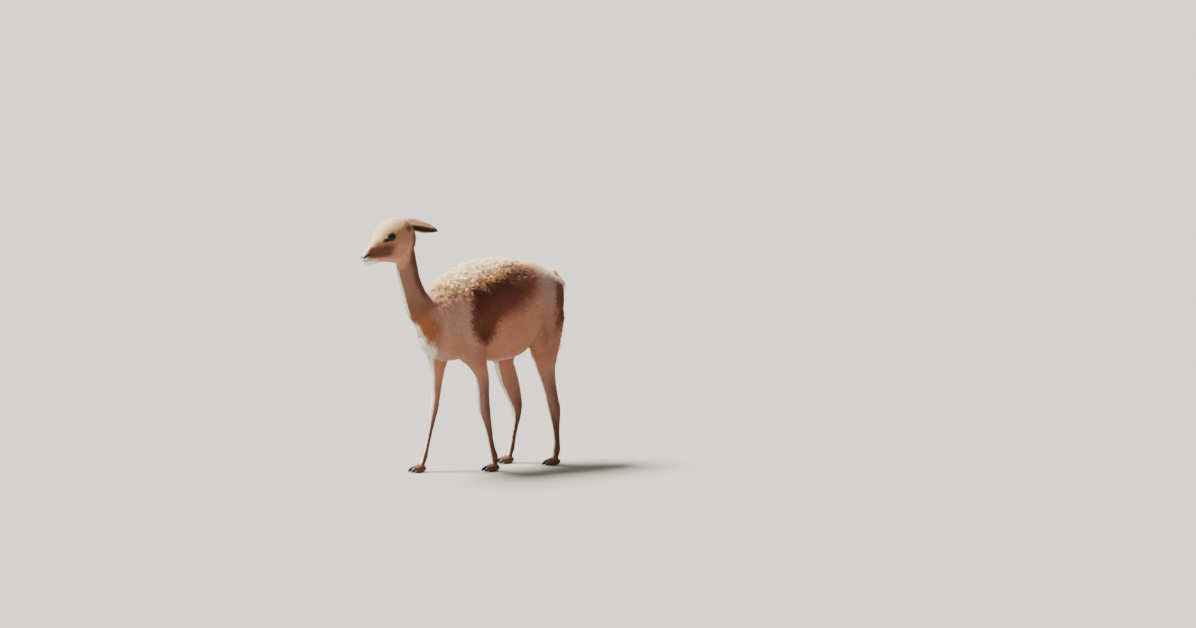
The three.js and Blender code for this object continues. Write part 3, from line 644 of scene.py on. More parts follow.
# Lids, nostrils, lips and folds, as moves of the skin.
def eye_frame(sign):
    """Axes of one eye: along its slit towards the nose, across the slit upwards, and out of the head."""
    out = unit(np.array([-0.22, -sign, 0.12]))
    long = np.array([-0.9, 0, -0.43])
    long = unit(long - out * dot(long, out))
    across = np.cross(long, out) * sign
    if across[2] < 0:
        across = -across
    return long, across, out


def lid_bend(along):
    """Share of a lid's height that is left at a place along the slit: 1 in the middle, little at the ends."""
    return np.clip(1 - np.abs(along / SLIT_HALF) ** 2.3, 0.04, 1) ** 0.62


def slit(along, over):
    """1 on the edge of the almond-shaped opening, less inside and more outside."""
    half = np.where(over > 0, UPPER_LID, LOWER_LID)
    return np.maximum(np.abs(over) / (half * lid_bend(along)), np.abs(along) / 17.8)


def shaped_eye(points, sign):
    """Draws the skin over a ball a little larger than the eye, and sinks it inside the slit."""
    eye = EYE * (1, sign, 1)
    long, across, out = eye_frame(sign)
    away = points - eye
    along, over, depth = away @ long, away @ across, away @ out
    reach = np.linalg.norm(away, axis=1)
    q = slit(along, over)
    facing = ease(-6, 6, depth)
    swell = 2.3 + 0.9 * ease(1.0, 1.35, q) - 1.5 * ease(1.3, 1.55, q) * ease(1.95, 1.6, q)
    lid = np.where(q < 1, EYE_RADIUS - 2.6, EYE_RADIUS + swell)
    hold = facing * ease(2.5, 1.75, q) * ease(36, 30, reach)
    target = reach + (lid - reach) * hold
    return eye + away / np.maximum(reach, 1e-6)[:, None] * target[:, None]


def eye_reach(points):
    """How far outside the eyes' openings points lie: 1 on the edge, and 9 away from both eyes."""
    value = np.full(len(points), 9.0)
    for sign in SIDES.values():
        long, across, out = eye_frame(sign)
        away = points - EYE * (1, sign, 1)
        near = (away @ out > -4) & (np.linalg.norm(away, axis=1) < 34)
        value = np.where(near, np.minimum(value, slit(away @ long, away @ across)), value)
    return value


def segment_distance(points, start, end):
    """Distance from points to a straight piece, and how far along it the nearest place lies."""
    way = end - start
    t = np.clip((points - start) @ way / (way @ way), 0, 1)
    return np.linalg.norm(points - start - t[:, None] * way, axis=1), t


def shaped_muzzle(points, normals):
    """Sinks the nostrils and the mouth line, splits the upper lip, and raises their rims."""
    low, high = NOSTRIL + (-5.5, 5.5, -6), NOSTRIL + (5.5, -4.0, 5)
    far, t = segment_distance(to_left(points), low, high)
    wide = 2.2 + 1.0 * np.sin(np.pi * np.clip(t, 0, 1))
    move = -7.0 * ease(wide + 0.9, wide - 0.8, far)
    move += 1.9 * ease(wide + 7, wide + 2.4, far) * ease(wide - 0.2, wide + 1.8, far)
    off = points[:, 2] - mouth_line(points[:, 0])
    in_mouth = ease(MOUTH_BACK_X + 6, MOUTH_BACK_X - 4, points[:, 0]) * (points[:, 2] < 962)
    move += -2.6 * in_mouth * ease(2.0, 0.4, np.abs(off))
    move += 1.3 * in_mouth * ease(0.8, 3.0, off) * ease(13, 5, off)
    move += 1.0 * in_mouth * ease(-0.8, -3.0, off) * ease(-11, -4, off)
    split = ease(2.1, 0.5, np.abs(points[:, 1])) * ease(-641, -654, points[:, 0])
    move += -2.2 * split * ease(-1, 2, off) * ease(948, 940, points[:, 2])
    return points + normals * move[:, None]


def shaped_face(points, normals):
    """Hollows before the eye and under the cheek bone, and the furrow from the eye's front corner."""
    mirrored = to_left(points)
    hollow = np.linalg.norm((mirrored - (-584, -34, 994)) / (20, 16, 12), axis=1)
    move = -2.4 * ease(1.5, 0.2, hollow)
    under = np.linalg.norm((mirrored - (-565, -40, 957)) / (34, 16, 12), axis=1)
    move += -2.2 * ease(1.5, 0.2, under)
    far, _ = segment_distance(mirrored, EYE + (-17, -16, -9), EYE + (-31, -6, -22))
    move += -1.5 * ease(3.4, 0.6, far)
    return points + normals * move[:, None]


def limb_near(rows, points, steps=6):
    """For each point, the place on a limb's path whose ring fits it closest.

    Gives the share of the way down, how many ring sizes out it lies, the path's direction, and how far the
    point lies ahead of the path and to its side, from -1 to 1.
    """
    path = spline(rows, steps)
    along, side, ahead = path_frame(path)
    best = np.full(len(points), 1e9)
    place = np.zeros(len(points), int)
    front = np.zeros(len(points))
    left = np.zeros(len(points))
    for i, station in enumerate(path):
        away = points - station[:3]
        f, s, a = away @ ahead[i], away @ side[i], away @ along[i]
        depth = np.where(f > 0, station[3], station[4])
        ratio = (f / depth) ** 2 + (s / station[5]) ** 2 + (a / (0.5 * station[5] + 6)) ** 2
        nearer = ratio < best
        best = np.where(nearer, ratio, best)
        place = np.where(nearer, i, place)
        front = np.where(nearer, f / depth, front)
        left = np.where(nearer, s / station[5], left)
    return place / (len(path) - 1), np.sqrt(best), along[place], front, left


skin_mesh = remeshed(*joined(body_forms()), SKIN_VOXEL)
first = coordinates(skin_mesh)
skin_mesh.vertices.foreach_set("co", relaxed(first, edge_pairs(skin_mesh), 7).astype(np.float32).ravel())
refined(skin_mesh, head_and_feet)
refined(skin_mesh, eyes_and_nose)
edges = edge_pairs(skin_mesh)
points = relaxed(coordinates(skin_mesh), edges, 4) * 1000 - (SHIFT_X, 0, 0)
faces = triangles_of(skin_mesh)
points = shaped_face(points, point_normals(points, faces))
points = shaped_muzzle(points, point_normals(points, faces))
for sign in SIDES.values():
    points = shaped_eye(points, sign)
points[:, 2] = np.maximum(points[:, 2], 0.6)
normals = point_normals(points, faces)

# Where each point of the skin lies.
regions = {"neck": limb_near(NECK, points), "tail": limb_near(TAIL, points)}
LEGS = {"left_fore": LEFT_FORE, "right_fore": RIGHT_FORE, "left_hind": LEFT_HIND, "right_hind": RIGHT_HIND}
for name, rows in LEGS.items():
    regions[name] = limb_near(rows, points)
x, y, z = points.T
head = ease(-9, 9, jaw_side(points)) * (z > 880)
neck = ease(14, -14, x - np.interp(z, *SHOULDER_LINE)) * (1 - head) * (z > 600)
groin = np.interp(x, [60, 100, 150, 218, 350], [452, 452, 500, 556, 650])
tail = ease(1.25, 1.0, regions["tail"][1]) * ease(283, 295, x) * (z > 480)
legs = {}
for name in LEGS:
    cut = 486 if name.endswith("fore") else groin
    close_by = np.maximum(ease(1.6, 1.25, regions[name][1]), ease(2.6, 2.2, regions[name][1]) * (z < 120))
    legs[name] = ease(cut + 22, cut - 16, z) * close_by
toes = {}
for name, (foot_x, foot_y) in FEET.items():
    toes[name] = (np.hypot(x - foot_x + 8, y - foot_y) < 62) * ease(46, 26, z)
    legs[name] = np.maximum(legs[name], toes[name])
toe = np.clip(sum(toes.values()), 0, 1)
leg = np.clip(sum(legs.values()), 0, 1)
trunk = np.clip(1 - head - neck - leg - tail, 0, 1)


def paint(red, green, blue):
    """A colour given as 0 to 255 screen values, as light."""
    c = np.array([red, green, blue]) / 255
    return np.where(c <= 0.04045, c / 12.92, ((c + 0.055) / 1.055) ** 2.4)


# Colours of the coat, the bare skin and the eyes.
CREAM = paint(248, 222, 180)
WHITE = paint(246, 234, 216)
GOLD = paint(230, 180, 128)
BROW = paint(240, 200, 148)
SADDLE = paint(98, 54, 37)
UMBER = paint(60, 29, 19)
TAWNY = paint(192, 136, 98)
FAWN = paint(170, 112, 90)
CROUP = paint(150, 118, 112)
SHOULDER = paint(172, 128, 114)
TAN_GROUND_BOUNCE = paint(176, 118, 84)
RUST = paint(148, 82, 44)
EARTH = paint(130, 84, 64)
THIGH = paint(156, 108, 92)
CINNAMON = paint(150, 108, 92)
NAPE_SHADE = paint(106, 60, 46)
RUMP_DARK_AND_SHADE = paint(94, 46, 25)
PALE_TAIL_AND_HIGHLIGHT = paint(222, 178, 140)
CHEEK = paint(158, 112, 88)
SHADE = paint(80, 44, 28)
NOSE = paint(34, 20, 16)
SHANK = paint(146, 108, 98)
DUSK = paint(96, 56, 36)
ROSE = paint(194, 136, 108)
LID_SKIN_AND_SHADE = paint(40, 22, 15)
LIP_SKIN = paint(70, 50, 42)
EAR_BACK = paint(220, 172, 140)
EAR_HOLLOW_SHADE = paint(66, 35, 23)
EAR_RIM = paint(220, 172, 136)
EAR_FRINGE = paint(216, 166, 132)
EAR_TIP = paint(84, 60, 40)
EYEBALL = paint(64, 50, 44)
IRIS_RIM = paint(20, 14, 12)
IRIS = paint(36, 20, 12)
PUPIL = paint(8, 7, 8)
LASH = paint(26, 19, 17)


def over(base, colour, mask):
    """Lays a colour over a base where the mask is 1."""
    return base + (colour - base) * np.clip(mask, 0, 1)[:, None]


def wobble(p, size, seed):
    """A soft uneven value from -1 to 1 that breaks up the edges of the markings."""
    rng = np.random.default_rng(seed)
    total = np.zeros(len(p))
    for _ in range(5):
        way = rng.normal(size=3)
        total += np.sin(p @ way / size + rng.uniform(0, 6.28))
    return total / 3.2


def coat_colour(p, n):
    """The animal's markings, as a function of place and facing, with some painted light and shade among them.
    """
    x, y, z = p.T
    soft = wobble(p, 22, 3)
    fine = wobble(p, 7, 4)
    rough = soft * 7 + fine * 4
    # Trunk: fawn flanks, a dark saddle with a point behind the shoulder, a gold back, and a painted cream
    # highlight on the up-facing top of the back.
    patchy = 15 * wobble(p, 46, 5) + rough
    mirrored = to_left(p)
    out = over(np.tile(FAWN, (len(p), 1)), SHOULDER, ease(-150, -210, x + rough))
    out = over(out, THIGH, ease(110, 190, x + patchy))
    out = over(out, CROUP, ease(90, 170, x + patchy) * ease(640, 750, z))
    low = np.interp(x + rough, [-256, -212, -178, -142, -108, -80, 20, 120, 190],
                    [770, 660, 590, 552, 590, 655, 700, 752, 815])
    rim = np.interp(x, [-330, -250, -190, -120, -20, 130, 220], [748, 758, 792, 824, 852, 864, 860])
    saddle = ease(-44, 40, z - low + patchy) * ease(-250, -190, x + patchy) * ease(178, 76, x + patchy)
    out = over(out, SADDLE, saddle)
    darkest = ease(150, 50, rim - z + patchy) * ease(-230, -180, x) * ease(90, -40, x + patchy)
    out = over(out, UMBER, 0.85 * saddle * darkest)
    out = over(out, UMBER, 0.7 * saddle * ease(640, 590, z) * ease(-90, -120, x))
    mottle = ease(0.0, 0.5, wobble(p, 13, 8)) * ease(-70, -24, z - rim)
    out = over(out, TAWNY, np.maximum(0.7 * mottle, ease(-40, 0, z - rim + patchy * 0.8)))
    out = over(out, GOLD, ease(-20, 24, z - rim + patchy * 0.8))
    # Painted highlight: cream on the up-facing wool along the top of the back.
    out = over(out, CREAM, 0.8 * ease(0.2, 0.7, n[:, 2]) * ease(-10, 26, z - rim + rough))
    # Painted highlight: pale colour on the up-facing top of the croup.
    out = over(out, PALE_TAIL_AND_HIGHLIGHT, ease(0.5, 0.8, n[:, 2]) * ease(150, 210, x))
    # Painted light: warm tan on the lower chest by the elbow, where light bounced from the ground falls.
    elbow = ease(-170, -240, x + rough) * ease(640, 560, z + rough) * ease(-0.5, 0.0, n[:, 2])
    out = over(out, TAN_GROUND_BOUNCE, 0.8 * elbow)
    out = over(out, RUST, 0.9 * ease(66, 30, np.hypot(x + 382, (z - 628) * 0.8) + soft * 6))
    out = over(out, CREAM, ease(-0.8, -0.97, n[:, 2]) * ease(560, 500, z))
    # Painted shade in the crease in front of the thigh, in the saddle's colour.
    fold = segment_distance(mirrored, np.array([150, -130, 640]), np.array([166, -110, 520]))[0]
    out = over(out, SADDLE, 0.5 * ease(26, 8, fold + soft * 4))
    # Dark brown band ahead of the tail: partly the dark hair by the tail, partly painted shadow in the groove
    # between thigh and tail.
    rear = x + np.interp(z, [480, 560, 640, 760, 830], [34, 20, 0, -2, -14])
    out = over(out, RUMP_DARK_AND_SHADE, ease(200, 238, rear + rough) * ease(480, 560, z) * ease(0.8, 0.45, n[:, 2]))
    out = over(out, THIGH, 0.6 * ease(0.8, 0.98, n[:, 0] + 0.1 * soft) * ease(210, 260, x))
    hanging = wobble(np.stack([x + 0.25 * z, y, 0.16 * z], -1), 5.0, 12)
    out = out * (1 + 0.11 * hanging * ease(790, 660, z) * ease(-260, -200, x))[:, None]
    breast = ease(-0.5, -0.8, n[:, 0]) * ease(-280, -320, x) * ease(600, 560, z)
    breast = breast * ease(66, 40, np.abs(y) + soft * 6)
    line_down = ease(-0.6, -0.9, n[:, 0]) * ease(-290, -330, x) * ease(30, 14, np.abs(y) + soft * 4)
    out = over(out, WHITE, np.maximum(breast, line_down * ease(770, 720, z)))
    # Neck: cinnamon, with painted shade down the back of the neck and painted shadow under the edge of the
    # cape, and a white line down the throat.
    front = dot(n, np.array([-0.97, 0, -0.24]))
    neck_coat = over(np.tile(CINNAMON, (len(p), 1)), EARTH, 0.8 * ease(800, 700, z + rough))
    neck_coat = over(neck_coat, RUST, 0.9 * ease(66, 30, np.hypot(x + 382, (z - 628) * 0.8) + soft * 6))
    # Painted shade down the back of the neck, which faces away from the light.
    neck_coat = over(neck_coat, NAPE_SHADE, ease(-0.1, 0.4, -front + 0.1 * soft) * ease(730, 790, z))
    # Painted shadow under the overhanging edge of the cape.
    under_cape_shade = segment_distance(mirrored, np.array([-402, -40, 850]), np.array([-326, -102, 712]))[0]
    neck_coat = over(neck_coat, NAPE_SHADE, 0.9 * ease(46, 20, under_cape_shade + soft * 4))
    neck_coat = over(neck_coat, WHITE, ease(0.93, 0.985, front + 0.015 * soft))
    on_neck = ease(30, -22, x - np.interp(z, *SHOULDER_LINE) + rough * 1.4) * (z > 600)
    out = over(out, neck_coat, on_neck)
    # Legs: pinkish brown, with painted shade on the back of each leg, darker towards the foot, and a white
    # line down the inner front edge.
    leg_coat = over(np.tile(SHANK, (len(p), 1)), FAWN, ease(330, 470, z))
    # Painted shade: the back of each leg, which faces away from the light, is darkened.
    behind = ease(0.7, -0.2, -n[:, 0] + 0.12 * soft)
    dark = np.maximum(0.8 * behind * ease(460, 300, z), 0.9 * ease(300, 150, z + rough))
    leg_coat = over(leg_coat, DUSK, dark)
    leg_coat = over(leg_coat, ROSE, 0.45 * ease(0.3, 0.9, -n[:, 1] * np.sign(y)) * ease(240, 330, z))
    inner_front = -0.95 * n[:, 0] - 0.31 * n[:, 1] * np.sign(y)
    leg_coat = over(leg_coat, WHITE, ease(0.80, 0.9, inner_front + 0.03 * soft))
    cut = np.where(x < -20, 500, np.interp(x, [60, 100, 150, 218, 350], [452, 462, 516, 580, 660]))
    out = over(out, leg_coat, ease(34, -30, z - cut + rough * 1.3))
    # Pale hair down the back of the tail, in the colour of the croup's painted highlight.
    out = over(out, PALE_TAIL_AND_HIGHLIGHT, ease(282, 296, x + fine) * ease(44, 26, np.abs(y) + soft * 2))
    # Head: pale brow and bridge, brown cheek, dark shade under the eye, white lips and chin.
    face = np.tile(CHEEK, (len(p), 1))
    face = over(face, BROW, ease(-12, 13, z - np.interp(x, *PALE_BRIDGE) + soft * 4 + fine * 3))
    under_eye = segment_distance(mirrored, EYE + (-74, 10, -60), EYE + (-4, -10, -52))[0]
    face = over(face, SHADE, 0.85 * ease(38, 12, under_eye + soft * 2) * ease(0.15, 0.5, np.abs(n[:, 1])))
    face = over(face, SHADE, 0.8 * ease(-626, -640, x) * ease(940, 950, z) * ease(0.25, 0.5, np.abs(n[:, 1])))
    face = over(face, ROSE, 0.8 * ease(-560, -510, x) * ease(1010, 960, z))
    face = over(face, ROSE, ease(-0.1, -0.6, n[:, 2]) * ease(950, 920, z))
    face = over(face, CREAM, ease(-0.3, -0.8, n[:, 2]) * ease(950, 920, z) * ease(-580, -620, x))
    face = over(face, WHITE, ease(8, 2, z - lip_slope(x)) * ease(-600, -626, x))
    face = over(face, WHITE, ease(-650, -658, x) * ease(948, 940, z))
    face = over(face, WHITE, ease(-660, -666, x) * ease(962, 952, z))
    above = segment_distance(mirrored, np.array([-642, -18, 961]), np.array([-629, -20, 976]))[0]
    face = over(face, SHADE, 0.85 * ease(11, 5, above + fine))
    nose = segment_distance(mirrored, NOSTRIL + (-5, 5, -4), NOSTRIL + (6, -4, 7))[0]
    face = over(face, NOSE, ease(9.5, 6.5, nose + fine) * ease(932, 936, z))
    ear_root = np.linalg.norm(mirrored - (-470, -40, 1049), axis=1)
    face = over(face, SHADE, 0.75 * ease(22, 8, ear_root + soft * 3))
    # Painted shadow of the neck behind the jaw, in the nape's shade colour.
    face = over(face, NAPE_SHADE, 0.9 * ease(-458, -442, x + soft * 2) * ease(1044, 1016, z))
    # Dark bare lid skin round the opening and at the front corner, spread wider as painted shade under the
    # brow.
    corner = segment_distance(mirrored, EYE + (-17, -12, -6), EYE + (-33, -1, -10))[0]
    face = over(face, LID_SKIN_AND_SHADE, 0.95 * ease(10, 5.5, corner + fine))
    face = over(face, LID_SKIN_AND_SHADE, ease(1.62, 1.36, eye_reach(p) + 0.06 * fine))
    lip = np.abs(z - mouth_line(x))
    face = over(face, LIP_SKIN, ease(2.2, 1.0, lip) * ease(MOUTH_BACK_X + 6, MOUTH_BACK_X - 2, x))
    out = over(out, face, ease(-8, 10, jaw_side(p) + rough * 0.6) * (z > 880))
    return np.clip(out, 0, 1)


def lie_of_coat():
    """Which way the hair lies: back and down the trunk, down the neck, legs and tail, back on the head."""
    back = np.array([1.0, 0, 0]) * np.ones((len(points), 1))
    steep = ease(860, 560, z)[:, None]
    lie = back * (1.0 - 0.45 * steep) + np.array([0, 0, -1.0]) * (0.12 + 0.75 * steep)
    lie = lie + np.array([0, 0, -1.0]) * ease(190, 290, x)[:, None] * 1.4
    lie = lie + np.array([0.2, 0, -1.2]) * (ease(-290, -330, x) * ease(800, 700, z))[:, None] * 2
    down_neck = regions["neck"][2]
    lie = lie * (1 - neck)[:, None] + down_neck * neck[:, None] * 1.2
    face_way = unit(np.array([0.72, 0, 0.42]) + np.array([0.1, 0, -1.1]) * ease(1010, 950, z)[:, None])
    lie = lie * (1 - head)[:, None] + face_way * head[:, None] * 1.5
    for name in LEGS:
        lie = lie * (1 - legs[name])[:, None] + regions[name][2] * legs[name][:, None]
    lie = lie * (1 - toe)[:, None] + np.array([-0.85, 0, -0.5]) * toe[:, None]
    lie = lie * (1 - tail)[:, None] + regions["tail"][2] * tail[:, None]
    return unit(square_to(lie, normals))


lie = lie_of_coat()
fleece = trunk * ease(-330, -300, x)
cape_edge = np.interp(x, [-320, -250, -160, -60, 80], [716, 730, 762, 800, 838])
curly = trunk * ease(110, 20, x) * ease(-24, 18, z - cape_edge + 5 * wobble(points, 18, 9))
belly = trunk * ease(-0.3, -0.8, normals[:, 2]) * ease(560, 500, z)
bib = ease(-250, -300, x) * ease(-0.1, -0.6, normals[:, 0]) * ease(770, 690, z) * (1 - leg)


def combed(p):
    """Places squeezed and sheared along the flank's lie, so that clumps found there come out long."""
    return np.column_stack([p[:, 0] * 0.62 - p[:, 2] * 0.2, p[:, 1], p[:, 2] * 0.8])


def uncombed(p):
    """The way back from combed places."""
    z = p[:, 2] / 0.8
    return np.column_stack([(p[:, 0] + z * 0.2) / 0.62, p[:, 1], z])


# Rounded clumps in the skin under the wool, long ones on the flanks.
_, near, beyond, _ = clumps_near(points, CLUMP, CAPE_SEED)
mound_curly = ease(0.0, 0.55, beyond - near)
_, near, beyond, _ = clumps_near(combed(points), LOCK, FLANK_SEED)
mound_flank = ease(0.0, 0.5, beyond - near)
mound = (5.5 * mound_curly - 1.5) * curly + (0.7 * mound_flank - 0.4) * (fleece - curly).clip(0, 1)
skin_points = points + normals * mound[:, None]
skin_mesh.vertices.foreach_set("co", metres(skin_points).astype(np.float32).ravel())
skin_mesh.polygons.foreach_set("use_smooth", np.ones(len(skin_mesh.polygons), bool))
skin_mesh.update()
points = skin_points
x, y, z = points.T
normals = point_normals(points, faces)


# Coat tables: how long, broad, high and close the tufts stand at each point of the skin.
def mixed(**parts):
    """A value for each point of the skin, mixed from one value for each region."""
    areas = {"trunk": trunk, "neck": neck, "head": head, "leg": leg, "tail": tail}
    total = sum(areas[name] * value for name, value in parts.items())
    return total / np.maximum(sum(areas[name] for name in parts), 1e-6)


eye_edge = eye_reach(points)
muzzle = ease(-584, -628, x)
low_leg = ease(440, 300, z)
foot = ease(90, 50, z)
deep = 25 + 5 * ease(640, 520, z)
length = mixed(
    trunk=deep * (1 - curly) + 24 * curly + 8 * bib + 8 * belly,
    neck=15 + 8 * ease(740, 650, z),
    head=(10.5 - 6.4 * muzzle) * (1 - 0.45 * ease(2.2, 1.3, eye_edge)),
    leg=19 - 10 * low_leg - 4.5 * foot - 1.5 * toe,
    tail=62.0,
)
rise = mixed(
    trunk=7.5 + 3.5 * curly - 1.5 * bib,
    neck=4.6 + 4 * ease(740, 650, z),
    head=HEAD_COAT * (1.15 - 0.85 * muzzle) * (1 - 0.5 * ease(2.2, 1.3, eye_edge)),
    leg=1.7 + 5 * ease(430, 520, z) - 0.6 * toe,
    tail=7.0,
)
broad = mixed(
    trunk=2.9 + 0.1 * curly,
    neck=2.2 + 0.5 * ease(740, 650, z),
    head=1.7 - 0.7 * muzzle,
    leg=2.6 - 0.8 * low_leg - 0.3 * foot,
    tail=3.6,
)
close = mixed(
    trunk=108000 - 6000 * curly,
    neck=140000,
    head=170000 + 90000 * muzzle,
    leg=52000 + 22000 * low_leg,
    tail=90000,
)
nose_near = segment_distance(to_left(points), NOSTRIL + (-7, 9, -2), NOSTRIL + (7, -3, 8))[0]
lip_near = (np.abs(z - mouth_line(x)) < 2.6) & (x < MOUTH_BACK_X + 4) & (head > 0.5)
close = close * (eye_edge >= 1.16) * ease(3.5, 6, nose_near) * (1 - lip_near) * (z > 5)
colour = coat_colour(points, normals)


def sampled(surface, corners, closeness, rng):
    """Roots of the tufts: a number for each triangle in proportion to its area and closeness."""
    a, b, c = (surface[corners[:, k]] for k in range(3))
    area = np.linalg.norm(np.cross(b - a, c - a), axis=1) * 0.5e-6
    wanted = area * closeness[corners].mean(1)
    steps = np.cumsum(wanted)
    count = int(steps[-1])
    marks = np.arange(count) + rng.uniform(0, 1, count)
    which = np.searchsorted(steps, np.minimum(marks, steps[-1] - 1e-6))
    u, v = rng.uniform(0, 1, (2, count))
    fold = u + v > 1
    u, v = np.where(fold, 1 - u, u), np.where(fold, 1 - v, v)
    return which, np.stack([1 - u - v, u, v], -1)


def carried(values, triangles, which, share):
    """Values of a surface's points carried to the roots."""
    corners = values[triangles[which]]
    weights = share if values.ndim == 1 else share[..., None]
    return (corners * weights).sum(1)


def blades(root, up, way, size, width, height, rings, sway, lean, curl, wave):
    """Closed three-sided blades.

    The middle line leaves the skin and bends over along the lie: ahead by size * t, up by height *
    (1 - (1 - t)^2.4), aside by sway * t^2 and by a hook of radius curl, and towards lean by t^1.5. The
    width swells from the root and closes to a point at the tip.
    """
    t = np.linspace(0, 1, rings + 1)[None, :, None]
    side = unit(np.cross(up, way))
    line = root[:, None] - up[:, None] * 1.2
    line = line + way[:, None] * (size[:, None, None] * t * (1 - 0.08 * t))
    lift = height[:, None, None] * ((1 - (1 - t) ** 2.4) - 0.22 * t**3)
    line = line + up[:, None] * lift
    line = line + side[:, None] * (sway[:, None, None] * t**2)
    line = line + lean[:, None] * t**1.5
    turn = wave[:, None, None] * t
    radius = curl[:, None, None]
    line = line + side[:, None] * radius * (1 - np.cos(turn)) + up[:, None] * radius * 0.45 * np.sin(turn)
    line = line - way[:, None] * radius * 0.8 * (turn - np.sin(turn)) / 3.2
    along = unit(np.gradient(line, axis=1))
    across = unit(np.cross(np.broadcast_to(up[:, None], along.shape), along))
    ridge = np.cross(along, across)
    swell = np.interp(np.linspace(0, 1, rings + 1), [0, 0.3, 0.65, 1], [0.55, 1.0, 0.85, 0.0])[None, :, None]
    half = width[:, None, None] * 0.5 * swell
    left = line - across * half
    right = line + across * half
    top = line + ridge * half * 0.62
    body = np.stack([left, right, top], axis=2)[:, :-1]
    tip = line[:, -1]
    count = len(root)
    per = rings * 3 + 1
    corners = np.concatenate([body.reshape(count, -1, 3), tip[:, None]], axis=1)
    soft = np.stack([-0.55 * across + 0.75 * ridge, 0.55 * across + 0.75 * ridge, ridge], axis=2)[:, :-1]
    soft = np.concatenate([soft.reshape(count, -1, 3), ridge[:, -1:]], axis=1)
    shading = unit(soft * 0.4 + up[:, None] * 0.7)
    sides = [(r * 3 + k, r * 3 + (k + 1) % 3) for r in range(rings) for k in range(3)]
    quads = [(a, b, b + 3, a + 3) for a, b in sides[:-3]]
    triangles = [(a, b, per - 1) for a, b in sides[-3:]] + [(2, 1, 0)]
    start = (np.arange(count) * per)[:, None, None]
    quads = (np.array(quads)[None] + start).reshape(-1, 4)
    triangles = (np.array(triangles)[None] + start).reshape(-1, 3)
    share = np.concatenate([np.repeat(np.linspace(0, 1, rings + 1)[:-1], 3), [1.0]])
    cross = np.concatenate([np.tile([0.0, 1.0, 0.5], rings), [0.5]])
    return corners.reshape(-1, 3), shading.reshape(-1, 3), quads, triangles, share, cross


def spread_map(root, rows):
    """A flat map of a region's own shape: the angle about its middle line, and the way along it."""
    if rows is None:
        middle = np.interp(root[:, 0], TRUNK[:, 0], TRUNK[:, 3])
        angle = np.arctan2(root[:, 1], root[:, 2] - middle)
        flat = np.stack([angle, root[:, 0]], -1)
    else:
        way, _, _, front, left = limb_near(rows, root)
        flat = np.stack([np.arctan2(left, front), way], -1)
    low, high = flat.min(0), flat.max(0)
    return 0.01 + 0.97 * (flat - low) / np.maximum(high - low, 1e-6)


def coat_piece(name, chosen, tufts, rings, rows, material):
    """One piece of the coat from the chosen tufts, with its markings, strand map and flat map."""
    pick = {key: value[chosen] for key, value in tufts.items()}
    made = blades(pick["root"], pick["up"], pick["way"], pick["size"], pick["width"], pick["height"], rings,
                  pick["sway"], pick["lean"], pick["curl"], pick["wave"])
    corners, shading, quads, triangles, share, cross = made
    total = len(quads) * 2 + len(triangles)
    if total > MOST_TRIANGLES:
        raise ValueError(f"{name} has {total} triangles")
    corners[:, 2] = np.maximum(corners[:, 2], 0.4)
    mesh = mesh_from(name, metres(corners), quads, triangles)
    per = rings * 3 + 1
    count = len(pick["root"])
    shade = np.tile(share, count)
    paint_points(mesh, "coat", np.repeat(pick["colour"], per, axis=0), shade)
    loops = np.empty(len(mesh.loops), np.int32)
    mesh.loops.foreach_get("vertex_index", loops)
    strand = np.column_stack([np.tile(cross, count) + np.repeat(pick["number"] * 37, per), shade])
    mesh.uv_layers.new(name="strand").data.foreach_set("uv", strand[loops].astype(np.float32).ravel())
    flat = np.repeat(spread_map(pick["root"], rows), per, axis=0)
    flat = flat + (np.column_stack([np.tile(cross, count), shade]) - 0.5) * 0.003
    mesh.uv_layers.new(name="OFBake").data.foreach_set("uv", flat[loops].astype(np.float32).ravel())
    mesh.normals_split_custom_set_from_vertices(shading)
    piece = add_object(name, mesh, material)


# Shader nodes. Each of these adds to a node tree and gives the output that the next node reads.
def object_place(tree):
    """Object coordinates."""
    return tree.nodes.new("ShaderNodeTexCoord").outputs["Object"]


def mapped(tree, vector, scale, turn=(0, 0, 0)):
    """Coordinates drawn out by scale and turned."""
    node = tree.nodes.new("ShaderNodeMapping")
    node.inputs["Scale"].default_value = scale
    node.inputs["Rotation"].default_value = turn
    tree.links.new(vector, node.inputs["Vector"])
    return node.outputs["Vector"]


def noise(tree, vector, scale, detail, rough):
    """Cloudy noise from 0 to 1."""
    node = tree.nodes.new("ShaderNodeTexNoise")
    node.inputs["Scale"].default_value = scale
    node.inputs["Detail"].default_value = detail
    node.inputs["Roughness"].default_value = rough
    tree.links.new(vector, node.inputs["Vector"])
    return node.outputs["Fac"]


def arithmetic(tree, kind, *values):
    """A sum, difference or product of numbers and outputs of other nodes."""
    node = tree.nodes.new("ShaderNodeMath")
    node.operation = kind
    for socket, value in zip(node.inputs, values):
        if isinstance(value, float):
            socket.default_value = value
        else:
            tree.links.new(value, socket)
    return node.outputs["Value"]


def ranged(tree, value, start, end, curve="LINEAR"):
    """A value carried from the range start to the range end, whose low end may be another node's output."""
    node = tree.nodes.new("ShaderNodeMapRange")
    node.interpolation_type = curve
    tree.links.new(value, node.inputs["Value"])
    for name, bound in zip(("From Min", "From Max", "To Min", "To Max"), (*start, *end)):
        if isinstance(bound, float):
            node.inputs[name].default_value = bound
        else:
            tree.links.new(bound, node.inputs[name])
    return node.outputs["Result"]


def ramped(tree, value, low, high, dark, light):
    """A colour that goes from dark at low to light at high."""
    node = tree.nodes.new("ShaderNodeValToRGB")
    for element, place, colour in zip(node.color_ramp.elements, (low, high), (dark, light)):
        element.position = place
        element.color = (*colour, 1)
    tree.links.new(value, node.inputs["Fac"])
    return node.outputs["Color"]


